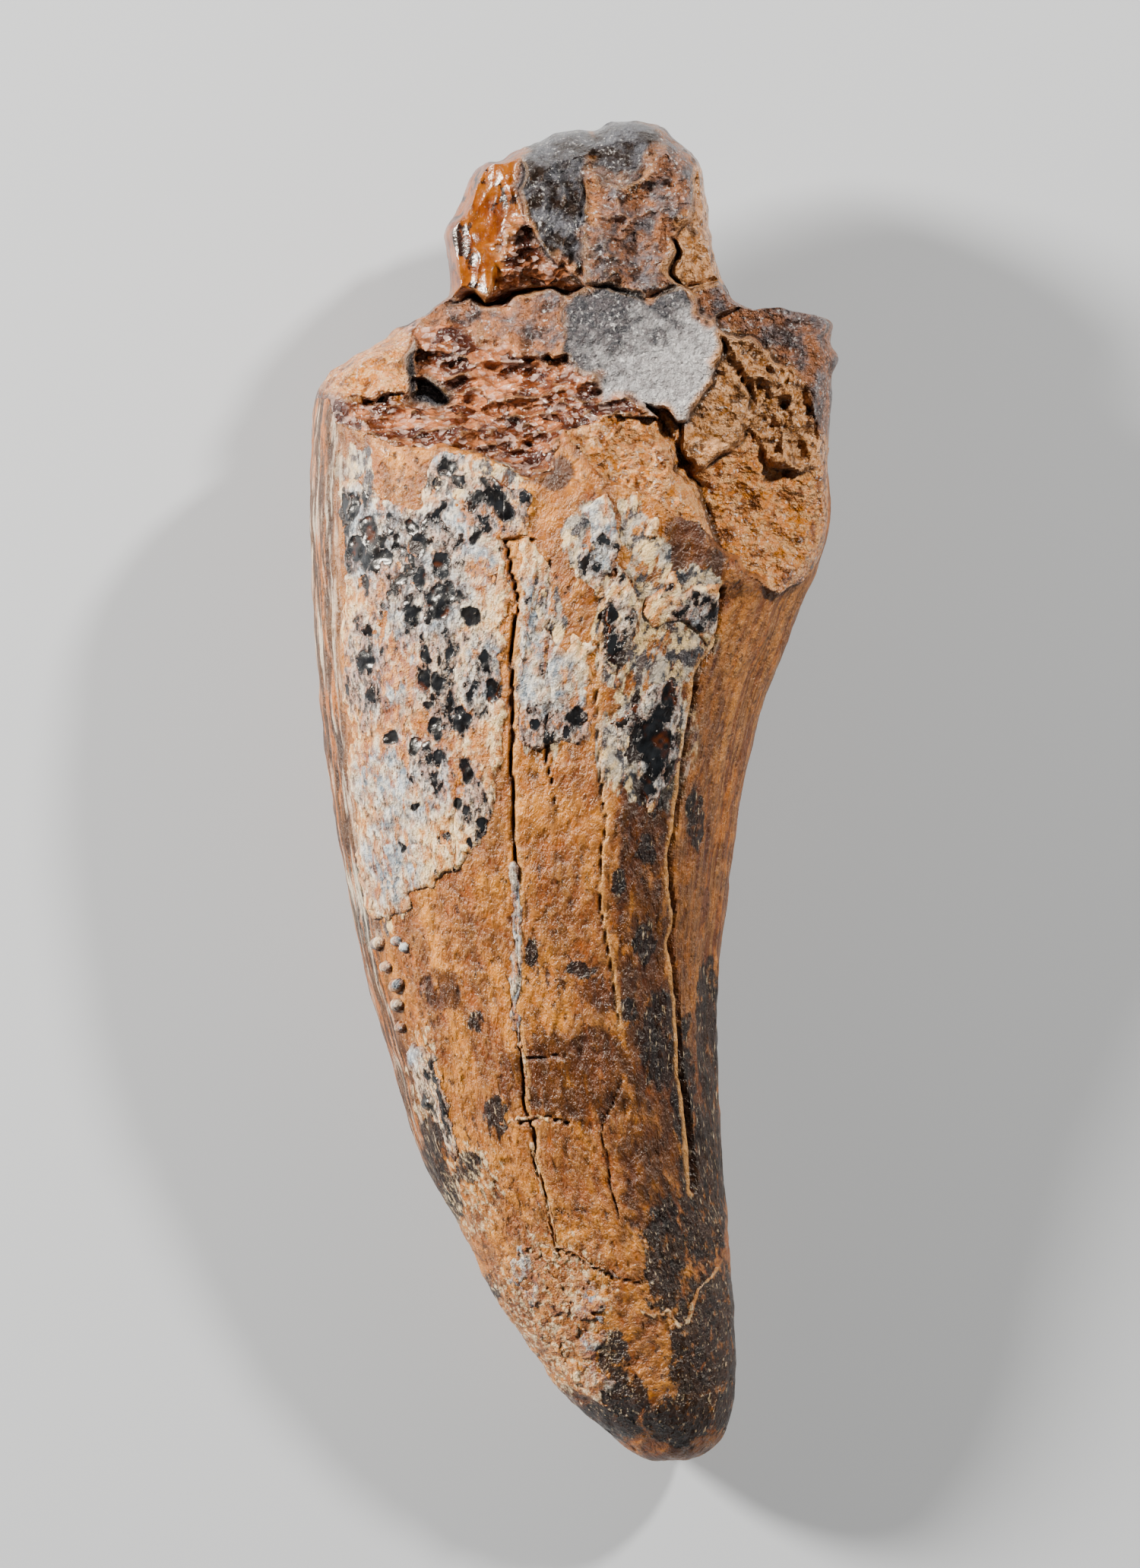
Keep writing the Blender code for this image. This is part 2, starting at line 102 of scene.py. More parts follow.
# The tooth as if it were straight: half its width and depth, and where its tip lies in the noise
STRAIGHT_HALF_WIDTH, STRAIGHT_HALF_DEPTH = 24, 16
TIP_SHIFT = (-2, 65, -9)
TIP_FADE = (-34, -60)

# Moves that make edges ragged: amount, size and seed
RIM_SHAKES = (0.5, 2.4, 41), (0.18, 0.8, 45)
CRACK_SHAKES = (0.35, 3, 71), (0.1, 0.7, 73)
FLAKE_SHAKES = (0.45, 1.6, 83), (0.2, 0.5, 85)

# How deep the crust's underside lies in the crown, and its least height at a kept cell
CRUST_ROOTED = 0.7
LEAST_CRUST = 0.02

# Each shell's points across its upper side and its underside, and its ends along the y axis
CROWN_ACROSS, ROOT_ACROSS, STUB_ACROSS = (176, 84), (300, 40), (200, 70)
CROWN_TOP, ROOT_FOOT, ROOT_TOP, STUB_FOOT = 42, 15, 51.5, 44

# The crust's meshes: how far each reaches across the crown, as q, and along the y axis
CRUST_PARTS = {
    "left_crust": ((-0.97, -0.1), (-32, 35)),
    "middle_crust": ((-0.25, 0.76), (-4, 30)),
    "vein_and_tip_crust": ((-0.8, 0.97), (-62, -5)),
}
CROWN_HALF_WIDTH = 22

# The studio, in metres: half the floor's width, and each light's place, size and power
FLOOR_HALF = 1.5
LIGHTS = {
    "key_light": ((-0.6, 0.25, 0.32), 0.14, 20),
    "side_light": ((0.5, 0.5, 0.5), 0.08, 14),
    "fill_light": ((0.2, -0.6, 0.9), 0.8, 0.3),
}
LIGHT_COLOR, SKY_COLOR, SKY_STRENGTH = (1, 0.92, 0.8), (1, 0.98, 0.96, 1), 0.04
CAMERA_PLACE = (-0.0002, 0.0008, 3)
SENSOR_HEIGHT, FOCAL_LENGTH = 24, 471

# Lines seen from above: the rim where the wall is broken off, the crest and the groove behind it,
# the rim beneath, the joint under the root's stub, a thin blade, and a slit in the stub
RIM = (-29, 38.6, -23.3, 38.4, -22.9, 36, -18.6, 34, -14.2, 33.2, -9, 32.5, -6.4, 31.1, -3.9, 30.2,
    -1.5, 30.9, -0.9, 34.6, 3, 36.6, 7.5, 36, 12, 33)
CREST = (-3, 37, -1, 34.6, 1.5, 32.1, 4.1, 29.8, 8.3, 28.1, 11.1, 25.8, 14, 23.9, 16.8, 21.3, 20.2, 19.5,
    24, 21)
GROOVE = (6.5, 38.5, 8.2, 35.2, 10, 32.6, 11.8, 29, 13.2, 25.6)
UNDERSIDE_RIM = (-28, 38, -16, 37, -4, 39, 8, 35.5, 28, 33)
JOINT = (-12.5, 48.2, -11.1, 47.9, -8.3, 47.2, -3.9, 47.9, 1.8, 49, 7.1, 48.1, 9.4, 48.7, 14.5, 49.6)
SLIVER = (-15.7, 44.5, -15, 42.9, -15, 38.9, -15.8, 38.5, -16, 42.2)
SLIT = (10.2, 53.6, 9.9, 51.6, 10.4, 49.4)

# Cracks down the crown and beneath it: path, width and depth. The back edge's is a path alone
CRACKS = (
    ((-6.4, 24, -5.8, 20.5, -5.3, 17.9, -5.6, 13.7, -6, 8.1, -6, 3.1, -5.9, -4.6, -5.5, -8.1), 0.6, 0.75),
    ((-5.5, -8.1, -5.2, -13.8, -5.5, -20.5, -4.8, -25.8), 0.45, 0.5),
    ((-4.8, -25.8, -4.3, -30.8, -2.9, -38.4, -1.3, -44), 0.45, 0.6),
    ((2.2, 23.6, 2.4, 16.5, 2.4, 10.9, 2.5, 3.2, 2.9, -4.1, 2.8, -11.6, 3.9, -17.2,
     4.3, -22.7), 0.35, 0.35),
    ((4.8, -27.9, 3.2, -31.1, 3.1, -35.6, 4.8, -41.1), 0.35, 0.3),
    ((-11.5, 12.6, -11.6, 3.1, -11.3, -1.1, -11.1, -6.7), 0.4, 0.5),
    ((-2.4, 22, -2.2, 10.9, -2.4, 4.7, -2, -1.1), 0.4, 0.5),
    ((-1.4, -43.9, 1.2, -45.4, 4.4, -46.9, 6.6, -47.6), 0.4, 0.3),
    ((-5, -32, -2.6, -31.4, -0.4, -31.8), 0.5, 0.4),
    ((-5.1, -25.9, -2.7, -26, -1.4, -25.5), 0.4, 0.3),
    ((-7.4, 24, -6.4, 24.1, -4, 24.4), 0.5, 0.5),
)
BACK_EDGE_CRACK = (14.6, 19.3, 14, 14.3, 12.3, 10.5, 11.4, 4.7, 10.7, 0.3, 10.1, -4.1, 9.7, -9.4,
    10.1, -15.7, 10.3, -21.2, 11.2, -30, 11.7, -38.1)
UNDERSIDE_CRACKS = (
    ((-9, 30, -9.5, 14, -9, -2, -7, -18, -3, -34), 0.9, 1),
    ((6, 26, 5.5, 12, 6, -6, 7.5, -20), 0.8, 0.9),
)

# Pieces of the broken root, from back to front: outline, height above the surface at its middle
# and its slopes along x and y, width, length and height of its chips, roughness, and finish
PATCHES = (
    ((14.2, 46, 15.6, 48.7, 19.1, 48.4, 22.9, 48, 27.4, 46.6, 27.8, 42.2, 27.4, 38.7, 26.4, 34.9,
     24.3, 35.2, 22.6, 39, 21.2, 42.2, 18.8, 43.2, 15.6, 43.9),
     (21, -0.1, -0.3), (4.2, 5, 0.8), 0.12, "umber"),
    ((13.9, 44.3, 15.6, 43.6, 18.1, 43.2, 21.2, 40.8, 22.6, 37.6, 24.3, 34.5, 25.4, 31.7, 21.9, 31.7,
     19.1, 32.4, 17.7, 34.2, 16.7, 35.9, 16.3, 38.7, 14.2, 40.8),
     (23.6, -0.45, 0.03), (1.7, 2.6, 1.4), 0.35, "spongy"),
    ((11.1, 36.6, 13.9, 40.1, 15.6, 39.7, 16.5, 37.6, 16, 35.2, 14.9, 33.1, 12.5, 31.4, 11.1, 33.1),
     (26.6, -0.1, -0.2), (3, 4, 0.4), 0.2, "spongy"),
    ((-25, 40.9, -20.5, 44.6, -17.4, 46.6, -15.5, 44.9, -15.8, 38.7, -18.8, 38.7, -21.9, 39.4,
     -24.7, 39.6),
     (22.2, 0.5, -0.7), (3.6, 2.4, 0.7), 0.08, "plain"),
    ((-15, 39.5, -13.2, 38.9, -12.7, 38.3, -14.9, 38.3),
     (23.4, 0.1, -0.6), (3, 3, 0.1), 0.1, "sparkle"),
    ((-15.5, 44.3, -14.3, 45.3, -11.8, 45.1, -9.4, 44.3, -6.6, 42.9, -5.2, 42, -8, 42.2, -10.8, 42.3,
     -12.9, 42.5, -15, 42.9),
     (23.6, 0.15, -0.8), (9, 9, 0.15), 0.04, "glassy"),
    ((-15, 47.4, -10.8, 50, -8, 49.6, -5.2, 49.3, -0.4, 48.6, 0.3, 47, -0.1, 45.3, 0.4, 42.9, -4.9, 42.5,
     -6.6, 43.9, -9.4, 44.9, -13.6, 45.3),
     (23.3, 0.42, -0.55), (3, 2.2, 0.7), 0.12, "umber"),
    ((0, 49.9, 1.4, 50.4, 5.2, 50.9, 7.3, 50.7, 10.4, 50.3, 12.5, 48.4, 13.7, 46.7, 13.9, 44.3, 14.1, 42.2,
     13.2, 39.7, 11.5, 37.3, 10.4, 35.9, 8.7, 37.3, 4.9, 38.3, 3.8, 39, 1.4, 41.1, 0, 42.9, -0.5, 45.3),
     (27.7, 0.1, -0.24), (6, 5, 0.35), 0.1, "grey"),
    ((12.2, 49.1, 13.9, 49.6, 15.3, 49.5, 16.5, 47.7, 15.6, 46.5, 14.2, 46, 13.2, 47),
     (22.6, -0.5, 0.1), (3, 3, 0.5), 0.1, "umber"),
    ((-9.4, 61.4, -7.5, 62.3, -6.6, 61.8, -5.2, 63, -4.3, 62.6, -4.4, 58.7, -4.5, 55, -5.4, 54.5,
     -6.6, 53.5, -7, 51.6, -7.2, 49.1, -8, 47.6, -9.8, 48.2, -10.6, 48.1, -15.5, 48.6, -16, 50.5,
     -16, 52.6, -16, 54.7, -15.5, 56.4, -14, 61),
     (22.4, 0.22, -0.12), (3.6, 9, 0.7), 0.02, "amber"),
    ((-5.2, 54.7, -2.3, 52.8, 1.4, 49.5, -0.4, 48.6, -5.2, 48.1, -7.8, 47.4, -7.3, 49.1, -6.9, 51.6,
     -6.4, 53.5),
     (22.9, 0.1, 0.42), (4.5, 3.4, 0.9), 0.03, "glassy"),
    ((-4.3, 62.6, -3.1, 65.4, -0.4, 66.4, 1.4, 65.7, 2.1, 62, 2.2, 59.6, 2.1, 56.4, 1.6, 53.6, 1.4, 49.5,
     -2.3, 52.8, -4.5, 55, -4.4, 58.7),
     (24.4, -0.12, -0.2), (2.2, 6.5, 0.6), 0.22, "sparkle"),
    ((2.2, 59.6, 4.9, 59.1, 6.8, 59.9, 7.5, 66.4, 10.4, 65, 12.2, 60.2, 12.2, 56.1, 11.1, 54.3, 10.1, 53.3,
     10.1, 49.8, 10.4, 49.5, 7.3, 48.8, 5.2, 48.9, 1.4, 49.5, 1.6, 53.6),
     (25, -0.12, -0.3), (2.8, 2.4, 1), 0.25, "umber"),
    ((1.9, 62, 2.1, 66.4, 5.2, 67.1, 7.3, 66.4, 7.5, 62, 6.8, 59.9, 4.9, 59.2, 3.1, 59.4, 2.2, 59.9),
     (22.2, 0, -0.4), (6, 6, 0.3), 0.06, "sparkle"),
    ((12.2, 62.2, 15.6, 59.5, 15.9, 54, 16.3, 50.2, 13.9, 49.5, 12.2, 49.1, 10.4, 49.5, 10.2, 52.6,
     11.1, 54, 11.6, 55.7),
     (20.6, -0.9, -0.25), (1.6, 4.5, 0.6), 0.12, "spongy"),
)

# Half the width of a piece's edge and of its paint's edge, how far it reaches past its outline, and
# the finishes of the broken root, beside plain chipped dentine
PATCH_EDGE, PAINT_EDGE, PATCH_OVERLAP = 0.22, 0.7, 0.45
FINISHES = ("glassy", "amber", "grey", "sparkle", "umber", "spongy")

# The mineral crust on the crown, as outlines seen from above, each with its thickness
CRUSTS = (
    ((-22.4, 29.8, -20.5, 30, -18.9, 28.5, -15.3, 27.3, -14.5, 27.7, -14, 29.6, -13.8, 32.2, -12.8, 33.2,
     -10.2, 33.4, -9.4, 31.3, -7.8, 30.4, -3.9, 28.7, -4.1, 24.5, -7, 23.9, -6.6, 22.1, -5.9, 20,
     -5.8, 18.2, -6.4, 15.8, -6.9, 12.3, -6.5, 8.3, -6.7, 4.7, -7.9, -3.3, -8.5, -5.3, -9.9, -6.3,
     -11.8, -7.7, -13.8, -9.3, -15.5, -9.9, -15.8, -11.5, -17.7, -12.5, -19.3, -12.1, -20.1, -11,
     -20.6, -7.8, -21.1, -4.2, -21.6, 0.9, -21.8, 6.1, -22.2, 12, -22.3, 17.9, -22.3, 25.2), 0.4),
    ((-5.2, 24.1, -4.1, 24.4, -3, 22.6, -1.7, 21.6, 0.3, 22.1, 0.4, 23.9, 1.6, 24.4, 0.6, 27.2, 1.3, 28.3,
     2.8, 28.8, 4.4, 26.7, 4.7, 23.6, 4.5, 22.4, 2.8, 20.3, 2.3, 18.6, 0, 18.3, -1.1, 18, -2.1, 16,
     -2, 14.1, -0.7, 13.9, 0, 15.3, 1.1, 15.4, 2, 14.2, 2.1, 11.2, 1.9, 7.6, 2.1, 4.7, 0.3, 4.3, -2.5, 4.5,
     -5.1, 4.1, -5.4, 5.1, -5.3, 10.2, -5, 15.3, -5, 20.3), 0.45),
    ((2.6, 19.3, 4.5, 22.4, 5.9, 19.3, 6.4, 17.8, 5.9, 13.7, 4.1, 12.7, 4.4, 11.2, 3.1, 11.2,
     2.7, 14.7), 0.35),
    ((6.9, 18.8, 8.9, 19.8, 9.2, 21.3, 9.9, 21.7, 10.6, 19.3, 12, 20.3, 13.9, 20.3, 14.1, 18.3, 13.8, 16.3,
     13.4, 13.7, 12, 15.5, 11, 16.7, 9.4, 16, 7.4, 16.1, 6.6, 17.3), 0.4),
    ((3, 6.9, 4.4, 6.9, 5.4, 8.2, 7.9, 10.2, 9.4, 11.2, 10.8, 10.2, 10.9, 7.6, 10.6, 3.8, 9.7, 0.5, 8.9, 0,
     8.2, -1.7, 7.2, -1.7, 6.9, 0, 5.4, 1, 4.6, 2.6, 4.1, 5.6), 0.3),
    ((6.8, 26.6, 7.9, 26.7, 8.3, 26.2, 8.2, 24.4, 7.2, 24.1, 6.6, 24.9), 0.4),
    ((-15.6, -24.4, -14.2, -24.6, -12.8, -25.9, -13.3, -26.9, -12.4, -29.4, -11.6, -31.6, -10.6, -34.6,
     -11.4, -36.2, -12.9, -34.2, -13.6, -31.4, -14.9, -29.2, -16.2, -26.4), 0.3),
    ((-6.8, -43.7, -3.3, -43.4, -1.4, -43.9, 2.3, -47.3, 3.4, -49.3, 3.6, -53.2, 2.3, -54.9, 4.4, -57.5,
     3.6, -59.7, 1.9, -59.4, -0.3, -58.6, -2, -56, -4.2, -52.7, -5.5, -51.4, -6.8, -49.3,
     -5.9, -46.7), 0.16),
)

# Thin veins of crust, each with its half width, and beads of it: x, y and radius
VEINS = (
    ((-5.7, -6.8, -5.4, -10.2, -5, -14, -5.4, -17.7, -5.6, -21.5, -5.4, -22.7), 0.5),
    ((-5.4, -22.7, -4.6, -26.7, -4.1, -29.7), 0.16),
    ((-4, -33.7, -3.3, -37, -2.3, -40.2, -1.4, -43.9), 0.2),
    ((6.8, -50.6, 7.9, -51, 9.6, -50.1, 10.5, -51.7, 11.4, -51.2, 12.2, -48.4, 14, -46.5), 0.28),
    ((-1.4, -43.9, 1.2, -45.4, 4.4, -46.9), 0.15),
    ((-6.8, -31.6, -4.4, -31.5, -2.4, -31.7), 0.25),
)
BEADS = (-18.7, -14.6, 0.6, -17, -14.4, 0.45, -16.3, -15, 0.45, -18, -16.9, 0.5, -17, -18.7, 0.6,
    -17, -20.6, 0.6, -16.7, -22.7, 0.45, -14, -30.2, 0.6)

# Ragged ovals, each as x, y, half width and half length. On the crown: dark dots, black
# stains, reddish brown shades, grey film, and whitish frost with painted highlights. In the
# crust: dark dots, blue grey, rust, dentine bare between the flecks, and where it is full of windows
DARK_SPOTS = (-21.9, 27.1, 0.5, 1.8, -20.9, 27.5, 0.4, 1.4, -19.5, 25.3, 0.8, 1.6, -20.7, 23.7, 0.8, 1.2,
    -15.6, 25.7, 0.6, 0.7, -12.1, 31.4, 1, 0.8, -12.8, 30, 0.5, 0.4, -9.4, 28.1, 0.8, 1,
    -7.4, 28.3, 1.2, 1, -6.4, 27.1, 1, 1.2, -9.2, 24.7, 0.5, 1, -12.6, 21.9, 1, 1.3, -14.7, 20.6, 0.5, 1.2,
    -12.8, 18.4, 1.4, 1.8, -15.3, 17.2, 0.8, 1, -9.6, 17, 1, 0.8, -16.9, 24.3, 0.4, 0.8,
    -14.9, 23.9, 0.8, 1.2, -17.9, 22.9, 0.8, 0.8, -19.9, 20.2, 0.5, 0.9, -14.1, 13.3, 0.7, 0.9,
    -14.1, 10.6, 0.7, 1, -12.8, 10.6, 0.7, 1, -13.8, 8.5, 0.6, 0.5, -13, 6.3, 0.7, 1.2,
    -10.6, 6.9, 0.8, 1.4, -8.4, 12.9, 0.7, 1, -7.5, 9.7, 0.6, 1.2, 0.4, 7.4, 1, 1.1, -3.5, 6.4, 0.6, 0.6,
    3.5, 16.8, 0.7, 1.5, 3.9, 14, 0.8, 1.5, 7.9, 4.5, 1.6, 2.6, 5.9, 4.3, 0.8, 1.2, -15, 4.6, 0.6, 0.8,
    -12.9, 3.3, 0.6, 0.9, -15, -1.4, 0.4, 0.5, -12, -4.2, 0.5, 0.6, -10.2, 2, 0.6, 1.2,
    -17.2, 5.2, 0.5, 0.7, -8.7, -3.5, 0.4, 0.9, -10.9, -0.9, 0.4, 0.6, -9.8, -5, 0.3, 0.5,
    -16.4, -5.2, 0.3, 0.5, 9.4, 9.6, 0.6, 1.5, 6.2, 8.6, 0.5, 1.3, 7, 0.6, 0.7, 1.4)
CROWN_SPOTS = {
    "dark": DARK_SPOTS,
    "stain": (9, -24, 2.6, 5, 14, -54, 4.8, 8.5, 12.8, -38, 2.4, 8.5, 1.5, -61.5, 5.5, 2.2,
        -13.3, -34, 1.5, 4.5, -9.9, -36.3, 1.4, 1.6, -7.4, -31.5, 1.1, 2.4, -3.9, -15.4, 0.9, 1.5,
        0.8, -17.2, 1.6, 0.8, 7.2, -5.5, 1, 1.6, 4.6, -8.6, 0.8, 1.4, 5.2, -20.8, 1.3, 1.2,
        8.2, 3.4, 2.6, 5.6, 4.3, 15.6, 1.2, 3.6, 7, -14.5, 1.2, 2.2, -9.3, -22, 0.8, 1.1, -12, -40, 1.5, 3,
        4, -54.5, 1.6, 2.4, 9, -45, 2, 6, 12.2, -2.5, 0.9, 3.2, 13.4, -24, 1.2, 8, -5, -56, 1.4, 3,
        -8, -50, 1.2, 3, 5, -58.5, 2.6, 2.4, 10.4, -61, 3.6, 2.6, 10.8, -29, 1.2, 6),
    "shade": (7.2, -12, 3.2, 17, 8, -35, 3.4, 9, 9.5, 4, 2.6, 8, 0.5, -27.5, 7.5, 4.5, 10.5, 24, 2, 3,
        1, -60.5, 5, 3, -3.2, 30.9, 4, 1.6, 12.6, 23, 2.4, 5, 13, -16, 2.6, 20, -12.5, -19, 2.4, 2.2,
        3, -19.5, 2.4, 1.8, 13.5, 8, 1.6, 8),
    "film": (6, 25.8, 1.8, 3, 8.6, 15, 5.6, 6, 3.6, 15.5, 1.7, 5.5, 8, 5, 4.8, 7, 1.6, 24.6, 2.8, 3.6,
        12, 19.5, 2.6, 2.6, -9.5, 30.5, 5, 2.2, -21, 30.5, 2, 3, -3, 12, 2.8, 9, 3.6, 4, 1.6, 4,
        -19, -9, 3, 6, 7.6, 22, 2.4, 3),
    "frost": (-2, -51, 6.4, 9.5, -9.5, -38.5, 3.4, 5, -14.5, -27, 1.8, 5),
}
CRUST_SPOTS = {
    "dark": DARK_SPOTS,
    "cool": (-19.5, 25, 3.5, 5.5, -13.5, 21, 3.5, 6.5, -8.5, 11.5, 2, 4, -3.6, 13.5, 2, 8, -1, 9.5, 2.5, 4,
        2.6, 24.5, 2, 4, -16, 1.5, 5, 4.5, -17.5, -6.5, 3, 4.5, -12, 33, 2.4, 1.6, -5.4, -15, 1.5, 9,
        -17, -20, 3, 9, 12, 17, 2, 2, -10, 24, 3, 6, -17.5, 13, 3.5, 6, 8.5, 6, 3.5, 6, 3, -52, 2.5, 6,
        -6, -50, 3, 8),
    "rust": (-6.9, 27.2, 3.6, 3.2, -3.6, 5.8, 2.8, 2.2, 0.4, 6.8, 2.2, 2.6, -12, 6.6, 3.2, 3,
        -9.5, 2, 2.5, 3),
    "bare": (-20, 17.3, 1.8, 2.4, -19.3, 9, 3.2, 6.5, -16.3, 12, 2.4, 3.4, -15, 5, 2.4, 2.6,
        -8.6, 21, 1.4, 1.6, -11.5, 1.5, 3, 1.8, -17.8, 20.5, 1.6, 2, -1, -51.5, 5, 9),
    "windows": (-19.5, 25, 3.5, 5.5, -14, 21, 4, 6.5, -7, 28, 3.5, 3, -12, 30, 2, 3, -11, 11, 3.5, 5,
        -9.5, -1, 1.6, 3.5, -13.5, 2.5, 2, 2.5, -2, 6.5, 3.5, 2.5, 2.5, 22, 2.5, 3, 4.5, 15, 2, 4,
        8, 5, 4, 7, 12, 17.5, 2.5, 2, -12.5, -30, 2.5, 6, -20, 12, 2, 6),
}


def row_count(name, words, rows):
    """A property for the number of rows of points in one piece."""
    return IntProperty(name=name, description=words, default=rows, min=60)


class ToothSettings(bpy.types.PropertyGroup):
    """Sizes of the tooth's grids and relief."""

    crown_rows: row_count("Crown rows", "Rows of points along the crown", 380)
    root_rows: row_count("Root rows", "Rows of points along the broken root", 264)
    stub_rows: row_count("Stub rows", "Rows of points along the root's stub", 320)
    crust_step: FloatProperty(
        name="Crust step", description="Distance between the crust's points", unit="LENGTH",
        precision=5, default=0.16 * MM, min=0.05 * MM, max=1.0 * MM)
    relief: FloatProperty(
        name="Relief", description="Strength of the fine relief, 1 as found", default=1.0, min=0.0, max=2.0)


def color(name, words, *rgb):
    """A colour property with this default, given as the eye sees it, from 0 to 255."""
    linear = [((c / 255 + 0.055) / 1.055) ** 2.4 if c > 10 else c / 255 / 12.92 for c in rgb]
    return FloatVectorProperty(name=name, description=words, subtype="COLOR", size=3, min=0.0, max=1.0,
                               default=linear)


class ToothColors(bpy.types.PropertyGroup):
    """Colours of the tooth's finishes."""

    tan: color("Tan", "Lit dentine between the stains", 194, 120, 20)
    orange: color("Orange", "Most of the dentine", 136, 64, 2)
    # Brown also serves as painted shade in the dentine's hollows
    brown: color("Brown", "Hollows and bands of the dentine", 46, 19, 6)
    black: color("Black", "Stains and windows in the crust", 4, 4, 6)
    cream: color("Cream", "Most of the crust", 232, 202, 146)
    blue: color("Blue grey", "Cool parts of the crust", 128, 150, 172)
    ochre: color("Ochre", "Rusty parts of the crust", 170, 98, 12)
    glass: color("Glassy brown", "Fresh breaks of the dentine", 62, 23, 11)
    # Pale chip also serves as a painted highlight on the ridges of the breaks
    flesh: color("Pale chip", "Thin edges of the fresh breaks", 186, 120, 80)
    amber: color("Amber", "Clear slab of the root", 86, 36, 2)
    grey: color("Grey", "Leathery patch of the root", 104, 106, 116)
    umber: color("Umber", "Rough bone of the root", 88, 58, 38)
    floor: color("Floor", "Pale studio floor", 170, 177, 188)


def smooth_curve(knots, values, at):
    """A cubic through the values whose slope at each knot is that of its neighbours' chord."""
    slopes = np.gradient(values, knots, axis=0)
    i = np.clip(np.searchsorted(knots, at, side="right") - 1, 0, len(knots) - 2)
    width = (knots[i + 1] - knots[i])[:, None]
    t = (at - knots[i])[:, None] / width
    start = values[i] * (1 + 2 * t) * (1 - t) ** 2 + slopes[i] * width * t * (1 - t) ** 2
    return start + values[i + 1] * t**2 * (3 - 2 * t) - slopes[i + 1] * width * t**2 * (1 - t)


def ease(low, high, value):
    """0 on the low side, 1 on the high side, and a smooth S between."""
    t = np.clip((value - low) / (high - low), 0.0, 1.0)
    return t * t * (3 - 2 * t)


def beside(x, y, path, endless=True):
    """Distance to the path, and the same with a minus sign on its right-hand side.

    An endless path goes straight on past its two ends."""
    nearest = np.full(x.shape, np.inf)
    signed = np.zeros(x.shape)
    points = np.reshape(path, (-1, 2))
    for i, ((ax, ay), (bx, by)) in enumerate(zip(points, points[1:])):
        along_x, along_y = bx - ax, by - ay
        low = -np.inf if endless and i == 0 else 0.0
        high = np.inf if endless and i == len(points) - 2 else 1.0
        t = np.clip(((x - ax) * along_x + (y - ay) * along_y) / (along_x**2 + along_y**2), low, high)
        away_x, away_y = x - ax - t * along_x, y - ay - t * along_y
        distance = np.hypot(away_x, away_y)
        side = np.where(along_x * away_y - along_y * away_x < 0, -1.0, 1.0)
        signed = np.where(distance < nearest, side * distance, signed)
        nearest = np.minimum(nearest, distance)
    return nearest, signed


def edge_distance(x, y, outline):
    """Distance from the outline's edge, negative outside it, worked out only near the outline."""
    result = np.full(x.shape, -9.0)
    ring = np.reshape(outline + outline[:2], (-1, 2))
    low, high = ring.min(axis=0) - 3, ring.max(axis=0) + 3
    near = (x > low[0]) & (x < high[0]) & (y > low[1]) & (y < high[1])
    x, y = x[near], y[near]
    inside = np.zeros(x.shape, dtype=bool)
    for (ax, ay), (bx, by) in zip(ring, ring[1:]):
        inside ^= ((ay > y) != (by > y)) & (x < ax + (y - ay) * (bx - ax) / ((by - ay) or 1.0))
    nearest, _ = beside(x, y, ring, endless=False)
    result[near] = np.where(inside, nearest, -nearest)
    return result


def furrow(x, y, path, width, depth):
    """Depth of a V-shaped crack along the path."""
    return depth * ease(width / 2, 0.0, beside(x, y, path, endless=False)[0])


def scatter(ix, iy, iz, seed):
    """An even spread of numbers from -1 to 1, one for each whole-numbered place."""
    h = (ix * 374761393 + iy * 668265263 + iz * 2147483647 + seed * 1274126177) & 0xFFFFFFFF
    h = ((h ^ (h >> 13)) * 1103515245) & 0xFFFFFFFF
    h = ((h ^ (h >> 16)) * 2654435761) & 0xFFFFFFFF
    return (h ^ (h >> 15)) / 0x7FFFFFFF - 1.0


def noise(seed, *place):
    """Smooth random numbers: even ones at whole-numbered places, blended between them."""
    cells = [np.floor(part).astype(np.int64) for part in place]
    level = (0,) * (3 - len(place))
    values = [scatter(*(cell + step for cell, step in zip((*cells, *level), (*steps[::-1], *level))), seed)
              for steps in product((0, 1), repeat=len(place))]
    for part, cell in zip(place, cells):
        share = ease(0.0, 1.0, part - cell)
        values = [low + (high - low) * share for low, high in zip(values[::2], values[1::2])]
    return values[0]


def lumps(x, y, size, seed):
    """Smooth random lumps of about this size."""
    return noise(seed, x / size, y / size)


def piled(x, y, *layers):
    """The sum of layers of lumps, each given by its height, size and seed."""
    return sum(height * lumps(x, y, size, seed) for height, size, seed in layers)


def solid_lumps(place, *layers):
    """The same in space: each layer's height, its lumps' lengths along the three axes, and its seed."""
    return sum(height * noise(seed, *np.moveaxis(place / sizes, -1, 0)) for height, sizes, seed in layers)


def chips(x, y, wide, tall, seed):
    """Shell-like chips: the lowest of many tilted bowls, with sharp ridges between them.

    Returns their height and a random number from -1 to 1 for each chip."""
    u, v = x / wide, y / tall
    cell_u, cell_v = np.floor(u).astype(np.int64), np.floor(v).astype(np.int64)
    lowest = np.full(np.shape(x), np.inf)
    tone = np.zeros(np.shape(x))
    for step_u, step_v in product((-1, 0, 1), repeat=2):
        iu, iv = cell_u + step_u, cell_v + step_v
        aside, along, raised, lean, shade = (scatter(iu, iv, i, seed) for i in range(5))
        away_u, away_v = u - (iu + 0.5 + 0.45 * aside), v - (iv + 0.5 + 0.45 * along)
        bowl = 0.35 * raised + 0.25 * away_v + 0.35 * away_u * lean + 1.5 * (away_u**2 + away_v**2)
        tone = np.where(bowl < lowest, shade, tone)
        lowest = np.minimum(lowest, bowl)
    return lowest - 0.2, tone


def arch(q, fullness):
    """Height of the tooth's rounded section, from 0 at its edges to 1 in the middle."""
    return np.sqrt(np.maximum(1 - np.abs(q) ** fullness, 0.0))


